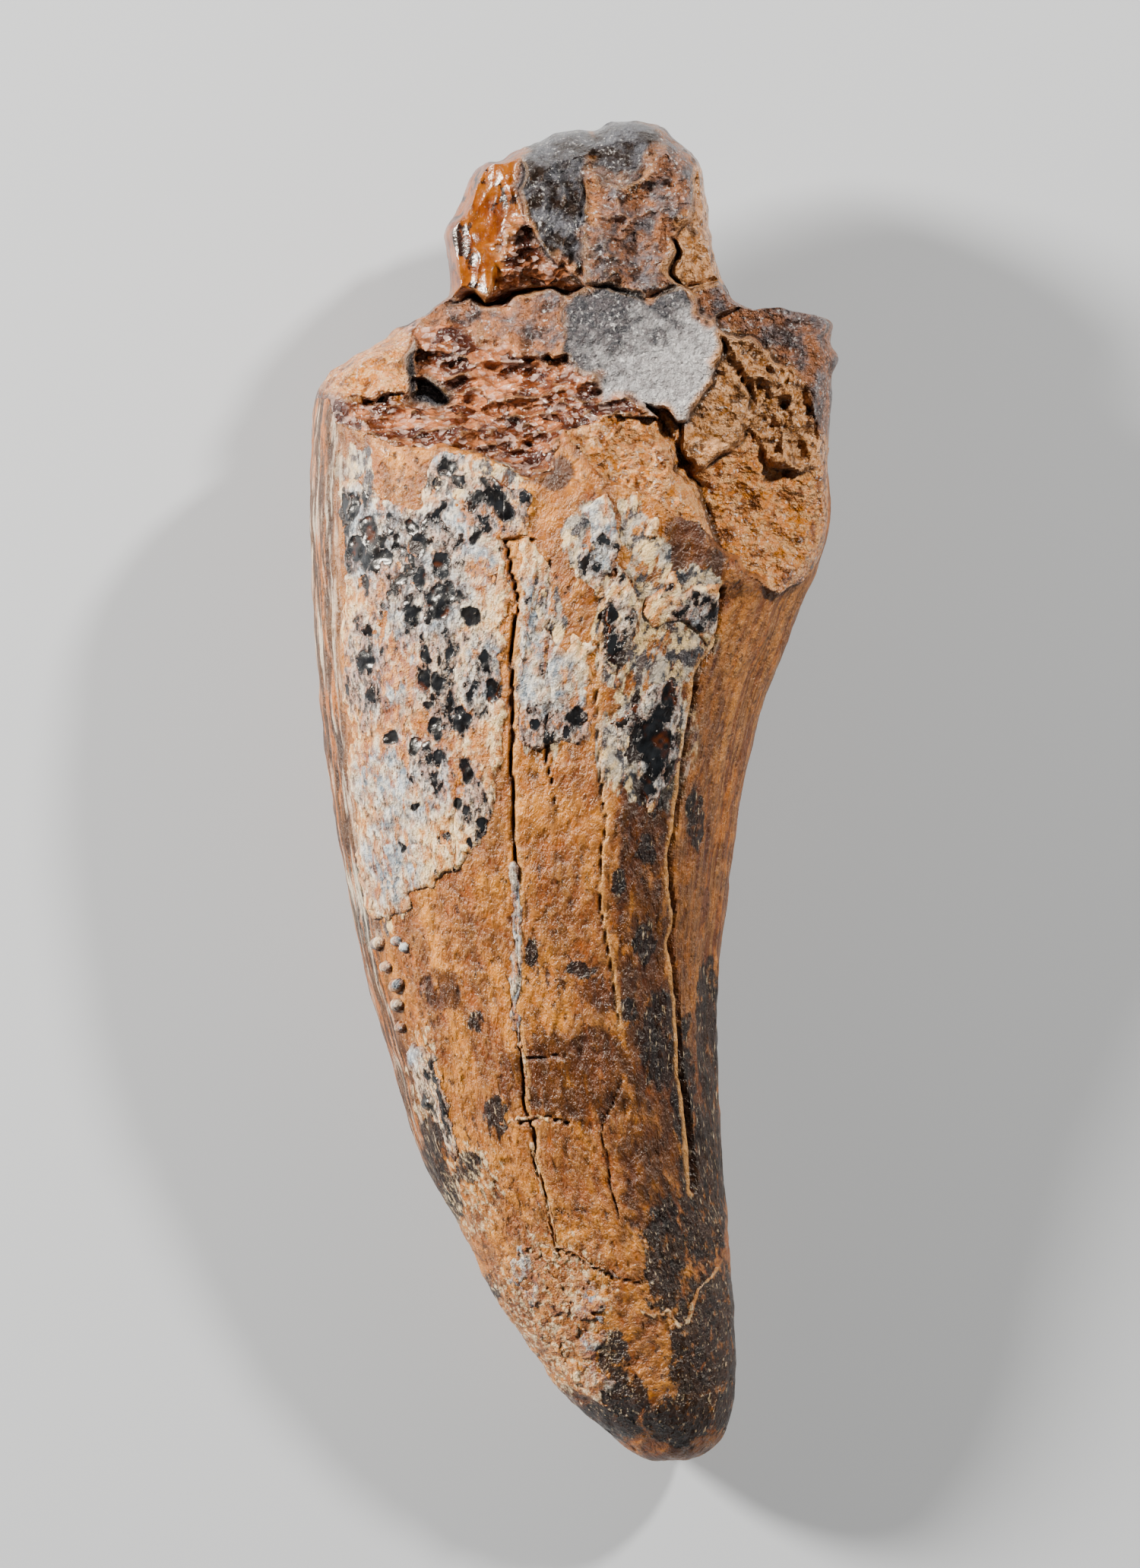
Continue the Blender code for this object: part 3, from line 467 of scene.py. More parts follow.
def outline_rows(at):
    """The outline's values at these shares of its length, from 0 at the tip to 1 at the top."""
    table = np.reshape(OUTLINE, (-1, 6))
    steps = sum(np.hypot(*np.diff(side, axis=0).T) for side in (table[:, 0:2], table[:, 2:4]))
    knots = np.concatenate([[0.0], np.cumsum(steps)])
    return smooth_curve(knots, table, at * knots[-1])


def chords(at, q):
    """Places at these rows and columns, the rows' middles, and their height and half thickness."""
    left_x, left_y, right_x, right_y, middle, half = np.moveaxis(outline_rows(at)[:, None, :], -1, 0)
    x, y = (left_x * (1 - q) + right_x * (1 + q)) / 2, (left_y * (1 - q) + right_y * (1 + q)) / 2
    return x, y, (left_x + right_x) / 2, (left_y + right_y) / 2, middle, half


def share_at(height):
    """The share of the outline's length at which its rows cross this height on the y axis."""
    at = np.linspace(0.0, 1.0, 2000)
    rows = outline_rows(at)
    return np.interp(height, (rows[:, 1] + rows[:, 3]) / 2, at)


def shaken(x, y, *steps):
    """The same places, moved a little in random directions by each amount, size and seed."""
    for amount, size, seed in steps:
        x, y = x + amount * lumps(x, y, size, seed), y + amount * lumps(x, y, size, seed + 1)
    return x, y


def terrace(x, y, above_rim):
    """The chipped slope on the left, from the rim up to the skyline, and its chips' tones."""
    height = 31.2 - 0.012 * (x + 1) ** 2 - np.interp(above_rim, (0, 5, 25), (0, 4.5, 14))
    tone = -0.7 * ease(5.0, 1.0, above_rim)
    for u, v, wide, tall, seed, relief, shade in (
            (x + 0.6 * y, y, 5.5, 2.4, 5, 1.5, 0.5), (x - 0.4 * y, y, 2.6, 1.3, 6, 0.9, 0.6),
            (x + 0.3 * y, y - 0.2 * x, 1.5, 0.8, 7, 0.5, 0.4)):
        bowl, bowl_tone = chips(u, v, wide, tall, seed)
        height, tone = height + relief * bowl, tone + shade * bowl_tone
    return height, tone


def crest_slope(x, y, above_crest):
    """The smooth slope behind the crest, down into the groove."""
    rough = piled(x, y, (0.5, 3.2, 21), (0.16, 0.8, 27))
    for relief, wide, tall, seed in ((0.25, 3.6, 1.8, 23), (0.3, 1.6, 0.9, 24)):
        rough = rough + relief * chips(x + y, y - x, wide, tall, seed)[0]
    return 32.6 - 0.0155 * x**2 - 0.42 * above_crest + rough


def valley(x, y):
    """The hollow behind the groove, which falls away to the back edge."""
    surface = np.interp(y, (18, 21, 26, 32, 40, 47), (29, 25.4, 24, 23.8, 22.6, 21))
    surface = surface - 0.4 * (x - 18) - 0.12 * np.maximum(x - 20, 0.0) ** 2
    return surface + piled(x, y, (0.6, 4, 25), (0.4, 1.4, 26), (0.18, 0.6, 28))


def beyond_rims(x, y):
    """How far a place is past the rim or the crest, and past the joint under the root's stub."""
    x, y = shaken(x, y, *RIM_SHAKES)
    return np.maximum(beside(x, y, RIM)[1], beside(x, y, CREST)[1]), beside(x, y, JOINT)[1]


def broken_surface(x, y):
    """Height of the broken root, the share of each finish there, and its chips' tones.

    Slopes fall away behind the rim and the crest, and each piece is laid over them in turn: a
    tilted plane with chips and roughness, inside its outline."""
    flat_x, flat_y = x, y
    x, y = shaken(x, y, *RIM_SHAKES)
    above_rim, above_crest = beside(x, y, RIM)[1], beside(x, y, CREST)[1]
    to_groove, past_groove = beside(x, y, GROOVE)
    surface, tone = terrace(flat_x, flat_y, above_rim)
    right = (above_crest > 0) & ((above_rim < 0) | (past_groove > 0))
    fallen = ease(-0.6, 0.6, past_groove)
    behind = fallen * valley(x, y) + (1 - fallen) * crest_slope(x, y, above_crest)
    surface = np.where(right, behind - 0.9 * ease(1.0, 0.0, to_groove), surface)
    tone = np.where(right, 0.5 * lumps(x, y, 2.0, 47), tone)
    finish = np.zeros((len(FINISHES), *x.shape))
    finish[0][~right] = 1.0
    for seed, (outline, plane, (wide, tall, chip), rough, name) in enumerate(PATCHES):
        weight = ease(-PATCH_EDGE, PATCH_EDGE, edge_distance(x, y, outline) + PATCH_OVERLAP)
        on = weight > 0
        weight, px, py = weight[on], flat_x[on], flat_y[on]
        height, slope_x, slope_y = plane
        middle_x, middle_y = np.mean(outline[::2]), np.mean(outline[1::2])
        big, big_tone = chips(px + 0.3 * py, py - 0.2 * px, wide, tall, 50 + seed)
        small, small_tone = chips(px - 0.3 * py, py + 0.2 * px, 0.4 * wide, 0.4 * tall, 70 + seed)
        patch = height + slope_x * (px - middle_x) + slope_y * (py - middle_y) + chip * (big + 0.35 * small)
        patch = patch + rough * piled(px, py, (1.0, 1.0, 90 + seed), (0.7, 0.5, 110 + seed))
        surface[on] += weight * (patch - surface[on])
        tone[on] += weight * (0.6 * big_tone + 0.5 * small_tone - tone[on])
        inside = edge_distance(x, y, outline) + PATCH_OVERLAP + 0.9 * lumps(x, y, 1.5, 130 + seed)
        lay(finish, name, ease(-PAINT_EDGE, PAINT_EDGE, inside))
    blade = ease(-0.15, 0.2, edge_distance(flat_x, flat_y, SLIVER))
    lay(finish, "grey", blade)
    joint, _ = beside(x, y, JOINT)
    gape = np.interp(x, (-12, -8, -4, -1), (3.6, 3.2, 1.8, 1))
    surface = surface + 1.2 * blade - gape * ease(0.35 + 0.12 * gape, 0.0, joint)
    return surface - furrow(x, y, SLIT, 1.0, 1.8), finish, tone


def lay(finish, name, share):
    """Lays one finish over the others by this share; a plain piece only covers them."""
    finish *= 1 - share
    if name in FINISHES:
        finish[FINISHES.index(name)] += share


def cracks_cut(x, y, cracks):
    """How far the cracks cut into the crown."""
    x, y = shaken(x, y, *CRACK_SHAKES)
    return np.max([furrow(x, y, *crack) for crack in cracks], axis=0)


def lip_highlights_at(x, y):
    """1 on the painted highlights along the lit lips of the long cracks, on their right-hand sides, and of
    the back-edge crack.
    """
    x, y = shaken(x, y, *CRACK_SHAKES)
    lips = [ease(0.3, 0.08, np.abs(beside(x, y, BACK_EDGE_CRACK, endless=False)[1] + 0.55))]
    for path, width, _ in CRACKS[:4]:
        signed = beside(x, y, path, endless=False)[1]
        lips.append(ease(0.28, 0.08, np.abs(signed - 0.5 * width - 0.1)))
    return np.max(lips, axis=0)


def behind_back_edge(x, y):
    """1 on the lower layer behind the crown's back-edge crack, and how deep that crack is."""
    x, y = shaken(x, y, (0.4, 3.0, 71))
    layer = ease(-0.2, 0.2, beside(x, y, BACK_EDGE_CRACK)[1])
    layer = layer * ease(-40.0, -18.0, y) * ease(20.5, 18.0, y)
    return layer, furrow(x, y, BACK_EDGE_CRACK, 0.9, 1.1)


def underside_break(x, y):
    """How far a place is past the underside's rim, and the height of the broken face there."""
    x, y = shaken(x, y, (0.5, 2.4, 43))
    above_rim = beside(x, y, UNDERSIDE_RIM)[1]
    broken = 3.2 + np.interp(above_rim, (0, 7, 30), (0, 5.6, 9))
    for relief, v, wide, tall, seed in (
            (1.2, y + 0.2 * x, 5.0, 4.0, 11), (0.5, y, 2.4, 2.0, 12), (0.25, y, 1.2, 1.0, 13)):
        broken = broken + relief * chips(x, v, wide, tall, seed)[0]
    return above_rim, broken


def straightened(q, at, side):
    """Places in the tooth as if it were straight: across, along, and up on its front or back."""
    rows = outline_rows(at)
    left, right = (np.concatenate([[0.0], np.cumsum(np.hypot(*np.diff(edge, axis=0).T))])
                   for edge in (rows[:, 0:2], rows[:, 2:4]))
    along = (left + right) / 2 + 200 * at[0]
    flat_q = q / 1.0001
    parts = (STRAIGHT_HALF_WIDTH * q, along[:, None],
             side * STRAIGHT_HALF_DEPTH * arch(flat_q, FRONT_FULLNESS))
    return np.stack(np.broadcast_arrays(*parts), axis=-1)


def beside_tip(place, points):
    """The same places, which go over to the points themselves near the tip, where they crowd."""
    tip = ease(*TIP_FADE, points[..., 1])[..., None]
    return place * (1 - tip) + (points + TIP_SHIFT) * tip


def crown_relief(place, x, y, above):
    """Fine relief of the crown's wall: long swells, leathery lumps, pits and fibres."""
    swell = solid_lumps(place, (0.2, (7, 24, 9), 201), (0.13, (2.8, 3.4, 2.8), 206))
    leather = solid_lumps(place, (0.09, (1.5, 2.2, 1.5), 202), (0.06, (0.7, 1, 0.7), 203))
    fibre = fibre_share(place, x, y, above)
    pits = 0.12 * ease(0.55, 0.8, solid_lumps(place, (1.0, (0.8, 1.2, 0.8), 205)))
    return (swell + leather * (1 + 0.5 * spots_at(x, y, CROWN_SPOTS["frost"]) * above)
            + fibre * solid_lumps(place, (0.09, (0.55, 9, 0.7), 204)) - pits * (1 - fibre))


def fibre_share(place, x, y, above):
    """Where the crown shows long fibres: its two edges, more so near the back edge's low layer."""
    long = ease(-60.0, -48.0, y)
    edge = ease(19.5, 22.5, np.abs(place[..., 0])) * long
    return np.maximum(edge, np.where(above, 0.6 * behind_back_edge(x, y)[0], 0.35 * long))


def tooth_rings(at, across):
    """Rings of the whole tooth: its outer wall, its broken surface, and how far past the rims.

    Each ring runs over the upper side, left to right, and back again beneath it. The upper side's
    broken height is the lower of the wall and the broken surface, and the underside's is the
    higher of the two, never below the floor."""
    over_count, under_count = across
    over = np.linspace(-1.0, 1.0, over_count)
    over = 0.6 * np.sin(over * np.pi / 2) + 0.4 * over
    q = np.concatenate([over, np.cos(np.linspace(0.0, np.pi, under_count + 2))[1:-1]])[None, :]
    above = np.arange(q.size)[None, :] < over_count
    x, y, middle_x, middle_y, middle, half = chords(at, q)
    boxy = FRONT_FULLNESS + (STUB_FULLNESS - FRONT_FULLNESS) * ease(STUB_FROM, STUB_WHOLE, y)
    below = middle - half * arch(q, BACK_FULLNESS)
    wall = np.where(above, middle + half * arch(q, boxy), below)
    surface, finish, tone = broken_surface(x, y)
    past_under, broken_below = underside_break(x, y)
    floor = np.maximum(np.where(past_under > 0, np.maximum(below, broken_below), below), 0.0)
    floor = floor + THINNEST * arch(q, 4) * np.minimum(half / 6, 1.0)
    top = np.maximum(np.minimum(wall, surface), floor)[:, :over_count]
    top[:, [0, -1]] = np.minimum(top[:, [0, -1]], middle)
    cover = np.stack([np.interp(back, row, height) if row[0] < row[-1] else np.full(back.shape, height[0])
                      for back, row, height in zip(x[:, over_count:], x[:, :over_count], top)])
    cover = cover - 0.3 * arch(q[:, over_count:], 4)
    bottom = np.minimum(np.maximum(below, broken_below)[:, over_count:], cover)
    past_top, past_joint = beyond_rims(x, y)
    place = np.where(above[..., None], straightened(q, at, 1.0), straightened(q, at, -1.0))
    place = beside_tip(place, np.stack([x, y, wall], axis=-1))
    jagged = ease(36.0, 42.0, y)
    moved_x, moved_y = shaken(x, y, (0.45, 2.0, 91))
    return SimpleNamespace(
        x=x + jagged * (moved_x - x), y=y + jagged * (moved_y - y), wall=wall, edge=np.abs(q),
        broken=np.concatenate([top, bottom], axis=1), above=above, up=np.where(above, 1.0, -1.0),
        middle_x=middle_x, middle_y=middle_y, past_top=past_top, past_under=past_under,
        past_joint=past_joint, past=np.where(above, past_top, past_under), finish=finish, tone=tone,
        place=place)


def displaced(points, distance, closed=True):
    """The rings or rows moved outward, along the cross product of their two directions."""
    around = np.roll(points, -1, axis=1) - np.roll(points, 1, axis=1)
    normals = np.cross(around if closed else np.gradient(points, axis=1), np.gradient(points, axis=0))
    normals = normals / np.maximum(np.linalg.norm(normals, axis=-1, keepdims=True), 1e-9)
    return points + normals * distance[..., None]


def draw_in(points, ring, share):
    """Moves the points by this share of 6 in 100 towards their rows' middles."""
    points[..., 0] += 0.06 * share * (ring.middle_x - ring.x)
    points[..., 1] += 0.06 * share * (ring.middle_y - ring.y)


def off_edge(ring):
    """0 at the left and right edges, where the upper side meets the underside, and 1 off them."""
    return np.clip((1 - ring.edge) / 0.03, 0.0, 1.0)


def crown_shell(rows, relief):
    """The crown up to the rims, and past them a hidden part inside the root."""
    ring = tooth_rings(np.linspace(0.0, share_at(CROWN_TOP), rows), CROWN_ACROSS)
    x, y, above, place = ring.x, ring.y, ring.above, ring.place
    layer, split = behind_back_edge(x, y)
    cut = np.where(above, np.maximum(cracks_cut(x, y, CRACKS), split), cracks_cut(x, y, UNDERSIDE_CRACKS))
    inward = cut + 0.6 * layer * above * ease(1.0, 0.94, ring.edge)
    fine = relief * crown_relief(place, x, y, above)
    shape = displaced(np.stack([x, y, ring.wall], axis=-1), fine - inward)
    shape[..., 2] = np.maximum(shape[..., 2], 0.0)
    hidden_top, hidden_under = (ease(0.0, 0.6, past) for past in (ring.past_top, ring.past_under))
    draw_in(shape, ring, np.minimum(hidden_top, hidden_under))
    depth = (1 + np.clip(0.8 * ring.past, 0.0, 4.0)) * off_edge(ring)
    sunk = np.where(above, hidden_top, hidden_under) * (ring.broken - ring.up * depth - shape[..., 2])
    shape[..., 2] += sunk
    place[..., 2] += sunk
    band = ease(-20.2, -22.2, place[..., 0]) * ease(-56.0, -34.0, y)
    fields = {"straight": place, "cut": ease(0.05, 0.5, cut), "hollow": hollow(fine - cut),
              "fibre": fibre_share(place, x, y, above), "lip": lip_highlights_at(x, y) * above,
              "cool": band * np.where(above, 1.0, ease(0.93, 1.0, ring.edge))}
    reach = np.where(above, 1.0, ease(0.7, 0.98, ring.edge))
    for name, spots in CROWN_SPOTS.items():
        fields[name] = spots_at(x, y, spots) * reach
    return shape, fields


def root_shell(at, across, relief, stub):
    """The broken root from the rims to the joint, or its stub past the joint.

    Before and past these lines a hidden part runs on inside the neighbouring piece."""
    ring = tooth_rings(at, across)
    shape = np.stack([ring.x, ring.y, ring.broken], axis=-1)
    outer = ease(0.88, 0.97, ring.edge) * ease(34.0, 40.0, ring.y)
    rough = solid_lumps(shape, (0.16, (2.2, 2.2, 2.2), 301), (0.1, (0.9, 0.9, 0.9), 302))
    shape = displaced(shape, relief * rough * np.maximum(outer, 0.7 * ~ring.above))
    rest = ease(-0.25 if stub else 0.25, 0.0, ring.past_joint)
    shown_top, shown_under = (ease(-0.8, 0.0, past) * rest for past in (ring.past_top, ring.past_under))
    draw_in(shape, ring, 1 - np.maximum(shown_top, shown_under))
    shape[..., 2] -= (1 - np.where(ring.above, shown_top, shown_under)) * ring.up * 2.5 * off_edge(ring)
    fields = dict(zip(FINISHES, ring.finish), straight=shape, tone=ring.tone)
    fields["hollow"] = hollow(shape[..., 2] * ring.up) * ease(0.98, 0.9, ring.edge)
    return shape, fields


def blurred(values, reach):
    """The mean of the values over a square of this reach, in rows and columns."""
    span = 2 * reach + 1
    for axis in (0, 1):
        width = [(reach + 1, reach) if axis == i else (0, 0) for i in (0, 1)]
        total = np.cumsum(np.pad(values, width, mode="edge"), axis=axis)
        low = np.arange(values.shape[axis])
        values = (np.take(total, low + span, axis=axis) - np.take(total, low, axis=axis)) / span
    return values


def hollow(height):
    """How far the surface lies under its own mean close by, at two reaches, in millimetres."""
    return 0.6 * (blurred(height, 1) - height) + 0.4 * (blurred(height, 3) - height)


def spots_at(x, y, spots):
    """1 inside the ragged ovals and 0 outside them."""
    x, y = shaken(x, y, (0.35, 0.9, 81))
    return np.max([ease(1.3, 0.75, np.hypot((x - middle_x) / half_x, (y - middle_y) / half_y))
                   for middle_x, middle_y, half_x, half_y in np.reshape(spots, (-1, 4))], axis=0)


def crust_height(x, y):
    """Height of the mineral crust over the crown, below 0 where there is none.

    Each patch rises from its ragged outline to its thickness; veins and beads are rounded; the
    windows and small pits cut through."""
    ragged_x, ragged_y = shaken(x, y, *FLAKE_SHAKES)
    height = np.full(x.shape, -1.0)
    for outline, thickness in CRUSTS:
        inside = edge_distance(ragged_x, ragged_y, outline)
        height = np.maximum(height, np.where(inside > 0, thickness * ease(0.0, 0.5, inside), inside))
    nodules = piled(x, y, (0.08, 1.3, 86), (0.06, 0.5, 87))
    height = np.where(height > 0, height * (0.6 + 1.5 * nodules) + 0.6 * nodules * (height > 0.1), height)
    height = height - 0.08 * spots_at(x, y, DARK_SPOTS)
    speckle = lumps(x + 0.4 * y, y - 0.4 * x, 1.7, 90) + piled(x, y, (0.7, 0.8, 91), (0.5, 0.4, 92))
    height = np.where(y < -42, height - 0.4 * ease(0.25, 0.7, speckle), height)
    for path, half in VEINS:
        nearest, _ = beside((ragged_x + x) / 2, ragged_y, path, endless=False)
        width = half * (1 + piled(x, y, (0.35, 0.9, 93), (0.25, 0.4, 94)))
        height = np.maximum(height, 0.45 * (width - nearest))
    for middle_x, middle_y, radius in np.reshape(BEADS, (-1, 3)):
        away = np.hypot(x - middle_x, y - middle_y) + 0.1 * lumps(x, y, 0.5, 95)
        dome = 0.9 * np.sqrt(np.maximum(radius**2 - away**2, 0.0)) + np.minimum(radius - away, 0.0)
        height = np.maximum(height, dome)
    return height


def crust_flake(q_range, y_range, step):
    """Top and bottom of one part of the crust, on a grid over the crown, its cells, and its fields."""
    at = np.linspace(*map(share_at, y_range), int((y_range[1] - y_range[0]) / step))
    q = np.linspace(*q_range, int(CROWN_HALF_WIDTH * (q_range[1] - q_range[0]) / step))[None, :]
    x, y, _, _, middle, half = chords(at, q)
    points = np.stack([x, y, middle + half * arch(q, FRONT_FULLNESS)], axis=-1)
    place = beside_tip(straightened(q, at, 1.0), points)
    layer, split = behind_back_edge(x, y)
    base = crown_relief(place, x, y, True) - 0.6 * layer - 0.4 * np.maximum(split, cracks_cut(x, y, CRACKS))
    height = np.where(beyond_rims(x, y)[0] > -0.15, -1.0, crust_height(x, y))
    top = displaced(points, base + np.maximum(height, -0.1), closed=False)
    bottom = displaced(points, base - CRUST_ROOTED, closed=False)
    corners = height[:-1, :-1] + height[1:, :-1] + height[:-1, 1:] + height[1:, 1:]
    fields = {"straight": place, "height": height, "hollow": hollow(height)}
    for name, spots in CRUST_SPOTS.items():
        fields[name] = spots_at(x, y, spots)
    return top, bottom, without_pinches(corners > 4 * LEAST_CRUST), fields


def without_pinches(keep):
    """The same cells, with those filled in that would join two others by a corner only."""
    for _ in range(4):
        a, b, c, d = keep[:-1, :-1], keep[:-1, 1:], keep[1:, :-1], keep[1:, 1:]
        pinch = (a & d & ~b & ~c) | (b & c & ~a & ~d)
        for block in (a, b, c, d):
            block |= pinch
    return keep


def with_fields(mesh, fields):
    """Stores the fields on the mesh's points, each as numbers or as places."""
    for name, values in fields.items():
        kind, part = ("FLOAT_VECTOR", "vector") if values.shape[-1] == 3 else ("FLOAT", "value")
        mesh.attributes.new(name, kind, "POINT").data.foreach_set(part, values.ravel())


def shell_mesh(name, rings, fields, keep):
    """A closed mesh: quads between the kept rings, and a fan of triangles at either end."""
    ends = [rings[0].mean(axis=0), rings[-1].mean(axis=0)]
    rings = rings[keep]
    rows, columns = rings.shape[:2]
    points = np.concatenate([rings.reshape(-1, 3), ends]) * MM
    here = np.arange(rows * columns).reshape(rows, columns)
    after = np.roll(here, -1, axis=1)
    quads = np.stack([here[:-1], after[:-1], after[1:], here[1:]], axis=-1).reshape(-1, 4)
    first_fan = np.stack([np.full(columns, rows * columns), after[0], here[0]], axis=-1)
    last_fan = np.stack([np.full(columns, rows * columns + 1), here[-1], after[-1]], axis=-1)
    mesh = bpy.data.meshes.new(name)
    mesh.from_pydata(points, [], quads.tolist() + first_fan.tolist() + last_fan.tolist())
    whole = {}
    for field, values in fields.items():
        flat = values[keep].reshape(rows * columns, -1)
        whole[field] = np.concatenate([flat, [flat[:columns].mean(axis=0), flat[-columns:].mean(axis=0)]])
    with_fields(mesh, whole)
    mesh.shade_smooth()
    mesh.set_sharp_from_angle(angle=SHARP_FROM)
    return mesh


def flake_mesh(name, top, bottom, keep, fields):
    """A closed mesh over the kept cells: their top, their bottom, and a wall round every edge."""
    rows, columns = top.shape[:2]
    count = rows * columns
    corner = np.arange(count).reshape(rows, columns)
    a, b, c, d = corner[:-1, :-1], corner[:-1, 1:], corner[1:, 1:], corner[1:, :-1]
    tops = np.stack([a, b, c, d], axis=-1)[keep]
    around = np.pad(keep, 1)
    walls = [np.stack([end, start, start + count, end + count], axis=-1)[keep & ~neighbour]
             for start, end, neighbour in ((a, b, around[:-2, 1:-1]), (b, c, around[1:-1, 2:]),
                                           (c, d, around[2:, 1:-1]), (d, a, around[1:-1, :-2]))]
    faces = np.concatenate([tops, tops[:, ::-1] + count] + walls)
    used = np.unique(faces)
    number = np.zeros(2 * count, dtype=np.int64)
    number[used] = np.arange(len(used))
    points = np.concatenate([top.reshape(-1, 3), bottom.reshape(-1, 3)])[used] * MM
    mesh = bpy.data.meshes.new(name)
    mesh.from_pydata(points, [], number[faces].tolist())
    with_fields(mesh, {field: values.reshape(count, -1)[used % count] for field, values in fields.items()})
    mesh.shade_smooth()
    return mesh


class Nodes:
    """Adds nodes to one tree. An input is a value, or the socket of another node to link from."""

    def __init__(self, tree):
        self.tree = tree

    def add(self, kind, inputs, **settings):
        """A new node with these inputs and settings. Gives its outputs."""
        node = self.tree.nodes.new(kind if kind.startswith("Node") else "ShaderNode" + kind)
        for name, value in settings.items():
            setattr(node, name, value)
        for name, value in inputs.items():
            if isinstance(value, bpy.types.NodeSocket):
                self.tree.links.new(value, node.inputs[name])
            else:
                node.inputs[name].default_value = value
        return node.outputs

    def field(self, name, part="Fac"):
        """A field stored on the mesh, as a number."""
        return self.add("Attribute", {}, attribute_name=name)[part]

    @cached_property
    def place(self):
        """The place on the tooth as if it were straight."""
        return self.field("straight", "Vector")

    def math(self, operation, first, second):
        return self.add("Math", {0: first, 1: second}, operation=operation)[0]

    def times(self, first, second):
        return self.math("MULTIPLY", first, second)

    def total(self, *terms):
        """The sum of the values, each times its weight."""
        result = 0.0
        for value, weight in terms:
            result = self.add("Math", {0: value, 1: weight, 2: result}, operation="MULTIPLY_ADD")[0]
        return result

    def ramp(self, value, low, high):
        """0 at low, 1 at high, and a smooth S between."""
        inputs = {"Value": value, "From Min": low, "From Max": high}
        return self.add("MapRange", inputs, interpolation_type="SMOOTHSTEP")[0]

    def blend(self, share, first, second):
        """The first number where share is 0, the second where it is 1."""
        return self.add("Mix", {0: share, 2: first, 3: second}, data_type="FLOAT")[0]

    def tint(self, share, first, second):
        """The first colour where share is 0, the second where it is 1."""
        return self.add("Mix", {0: share, 6: first, 7: second}, data_type="RGBA")[2]

    def coats(self, color, *layers):
        """The colour under coats of paint, each given by where it lies, its strength and its colour."""
        for share, most, paint in layers:
            color = self.tint(self.times(share, most), color, paint)
        return color

    def mottle(self, size, seed, low=0.4, high=0.6, detail=3.0, output="Share"):
        """Cloudy patches of this size in millimetres, as a share from 0 to 1, or the noise itself."""
        inputs = {"Place": self.place, "Pace": [1 / length for length in size], "Low": low, "High": high,
                  "Shift": (17.3 * seed, 5.7 * seed, 9.1 * seed), "Detail": detail}
        return self.add("Group", inputs, node_tree=mottle_group())[output]

    def gathered(self, size, seed, field, push, detail=4.0):
        """Noise plus push times the field."""
        noise = self.mottle(size, seed, detail=detail, output="Noise")
        return self.total((noise, 1.0), (self.field(field), push))

    def spread(self, size, seed, field, push, low, high, detail=4.0):
        """Mottles that grow together where the field is 1."""
        return self.ramp(self.gathered(size, seed, field, push, detail), low, high)

    def chips(self, size):
        """Height and tone of tilted chips of this size in millimetres."""
        inputs = {"Place": self.place, "Pace": [1 / length for length in size]}
        chip = self.add("Group", inputs, node_tree=chips_group())
        return chip["Height"], chip["Tone"]


def new_group(name, vectors, numbers, results):
    """An empty node group with these sockets, the helper that adds nodes to it, and what it is given."""
    tree = bpy.data.node_groups.new(name, "ShaderNodeTree")
    for names, direction, kind in ((vectors, "INPUT", "Vector"), (numbers, "INPUT", "Float"),
                                   (results, "OUTPUT", "Float")):
        for socket in names:
            tree.interface.new_socket(name=socket, in_out=direction, socket_type="NodeSocket" + kind)
    nodes = Nodes(tree)
    return tree, nodes, nodes.add("NodeGroupInput", {})


def mottle_group():
    """A node group: noise at this place, stretched by Pace, as a share between Low and High."""
    if "Mottle" in bpy.data.node_groups:
        return bpy.data.node_groups["Mottle"]
    tree, nodes, given = new_group("Mottle", ("Place", "Pace", "Shift"), ("Low", "High", "Detail"),
                                   ("Share", "Noise"))
    at = nodes.add("VectorMath", {0: given["Place"], 1: given["Pace"], 2: given["Shift"]},
                   operation="MULTIPLY_ADD")[0]
    inputs = {"Vector": at, "Scale": 1.0, "Detail": given["Detail"], "Roughness": 0.6}
    noise = nodes.add("TexNoise", inputs)[0]
    nodes.add("NodeGroupOutput", {"Share": nodes.ramp(noise, given["Low"], given["High"]), "Noise": noise})
    return tree


def chips_group():
    """A node group: bowls round scattered points, each tilted its own way, and a tone for each."""
    if "Chips" in bpy.data.node_groups:
        return bpy.data.node_groups["Chips"]
    tree, nodes, given = new_group("Chips", ("Place", "Pace"), (), ("Height", "Tone"))
    at = nodes.add("VectorMath", {0: given["Place"], 1: given["Pace"]}, operation="MULTIPLY")[0]
    cells = nodes.add("TexVoronoi", {"Vector": at, "Scale": 1.0})
    away = nodes.add("VectorMath", {0: at, 1: cells["Position"]}, operation="SUBTRACT")[0]
    lean = nodes.add("VectorMath", {0: cells["Color"], 1: (0.5, 0.5, 0.5)}, operation="SUBTRACT")[0]
    tilt = nodes.add("VectorMath", {0: away, 1: lean}, operation="DOT_PRODUCT")["Value"]
    tone = nodes.add("SeparateXYZ", {0: cells["Color"]})[0]
    bowl = nodes.math("POWER", cells["Distance"], 2.0)
    height = nodes.total((bowl, 0.7), (tilt, 1.2), (tone, 0.15))
    nodes.add("NodeGroupOutput", {"Height": height, "Tone": tone})
    return tree


def new_material(name):
    """A material with its shader, and the helper that adds nodes to it."""
    material = bpy.data.materials.new(name)
    material.use_nodes = True
    shader = material.node_tree.nodes["Principled BSDF"]
    shader.inputs["IOR"].default_value = 1.55
    return material, shader, Nodes(material.node_tree)


def finish_material(nodes, shader, base, roughness, height, distance):
    """Links colour, roughness and a bump whose height is in this many millimetres."""
    bump = nodes.add("Bump", {"Height": height, "Strength": 1.0, "Distance": distance * MM})[0]
    for socket, value in (("Base Color", base), ("Roughness", roughness), ("Normal", bump)):
        nodes.tree.links.new(value, shader.inputs[socket])


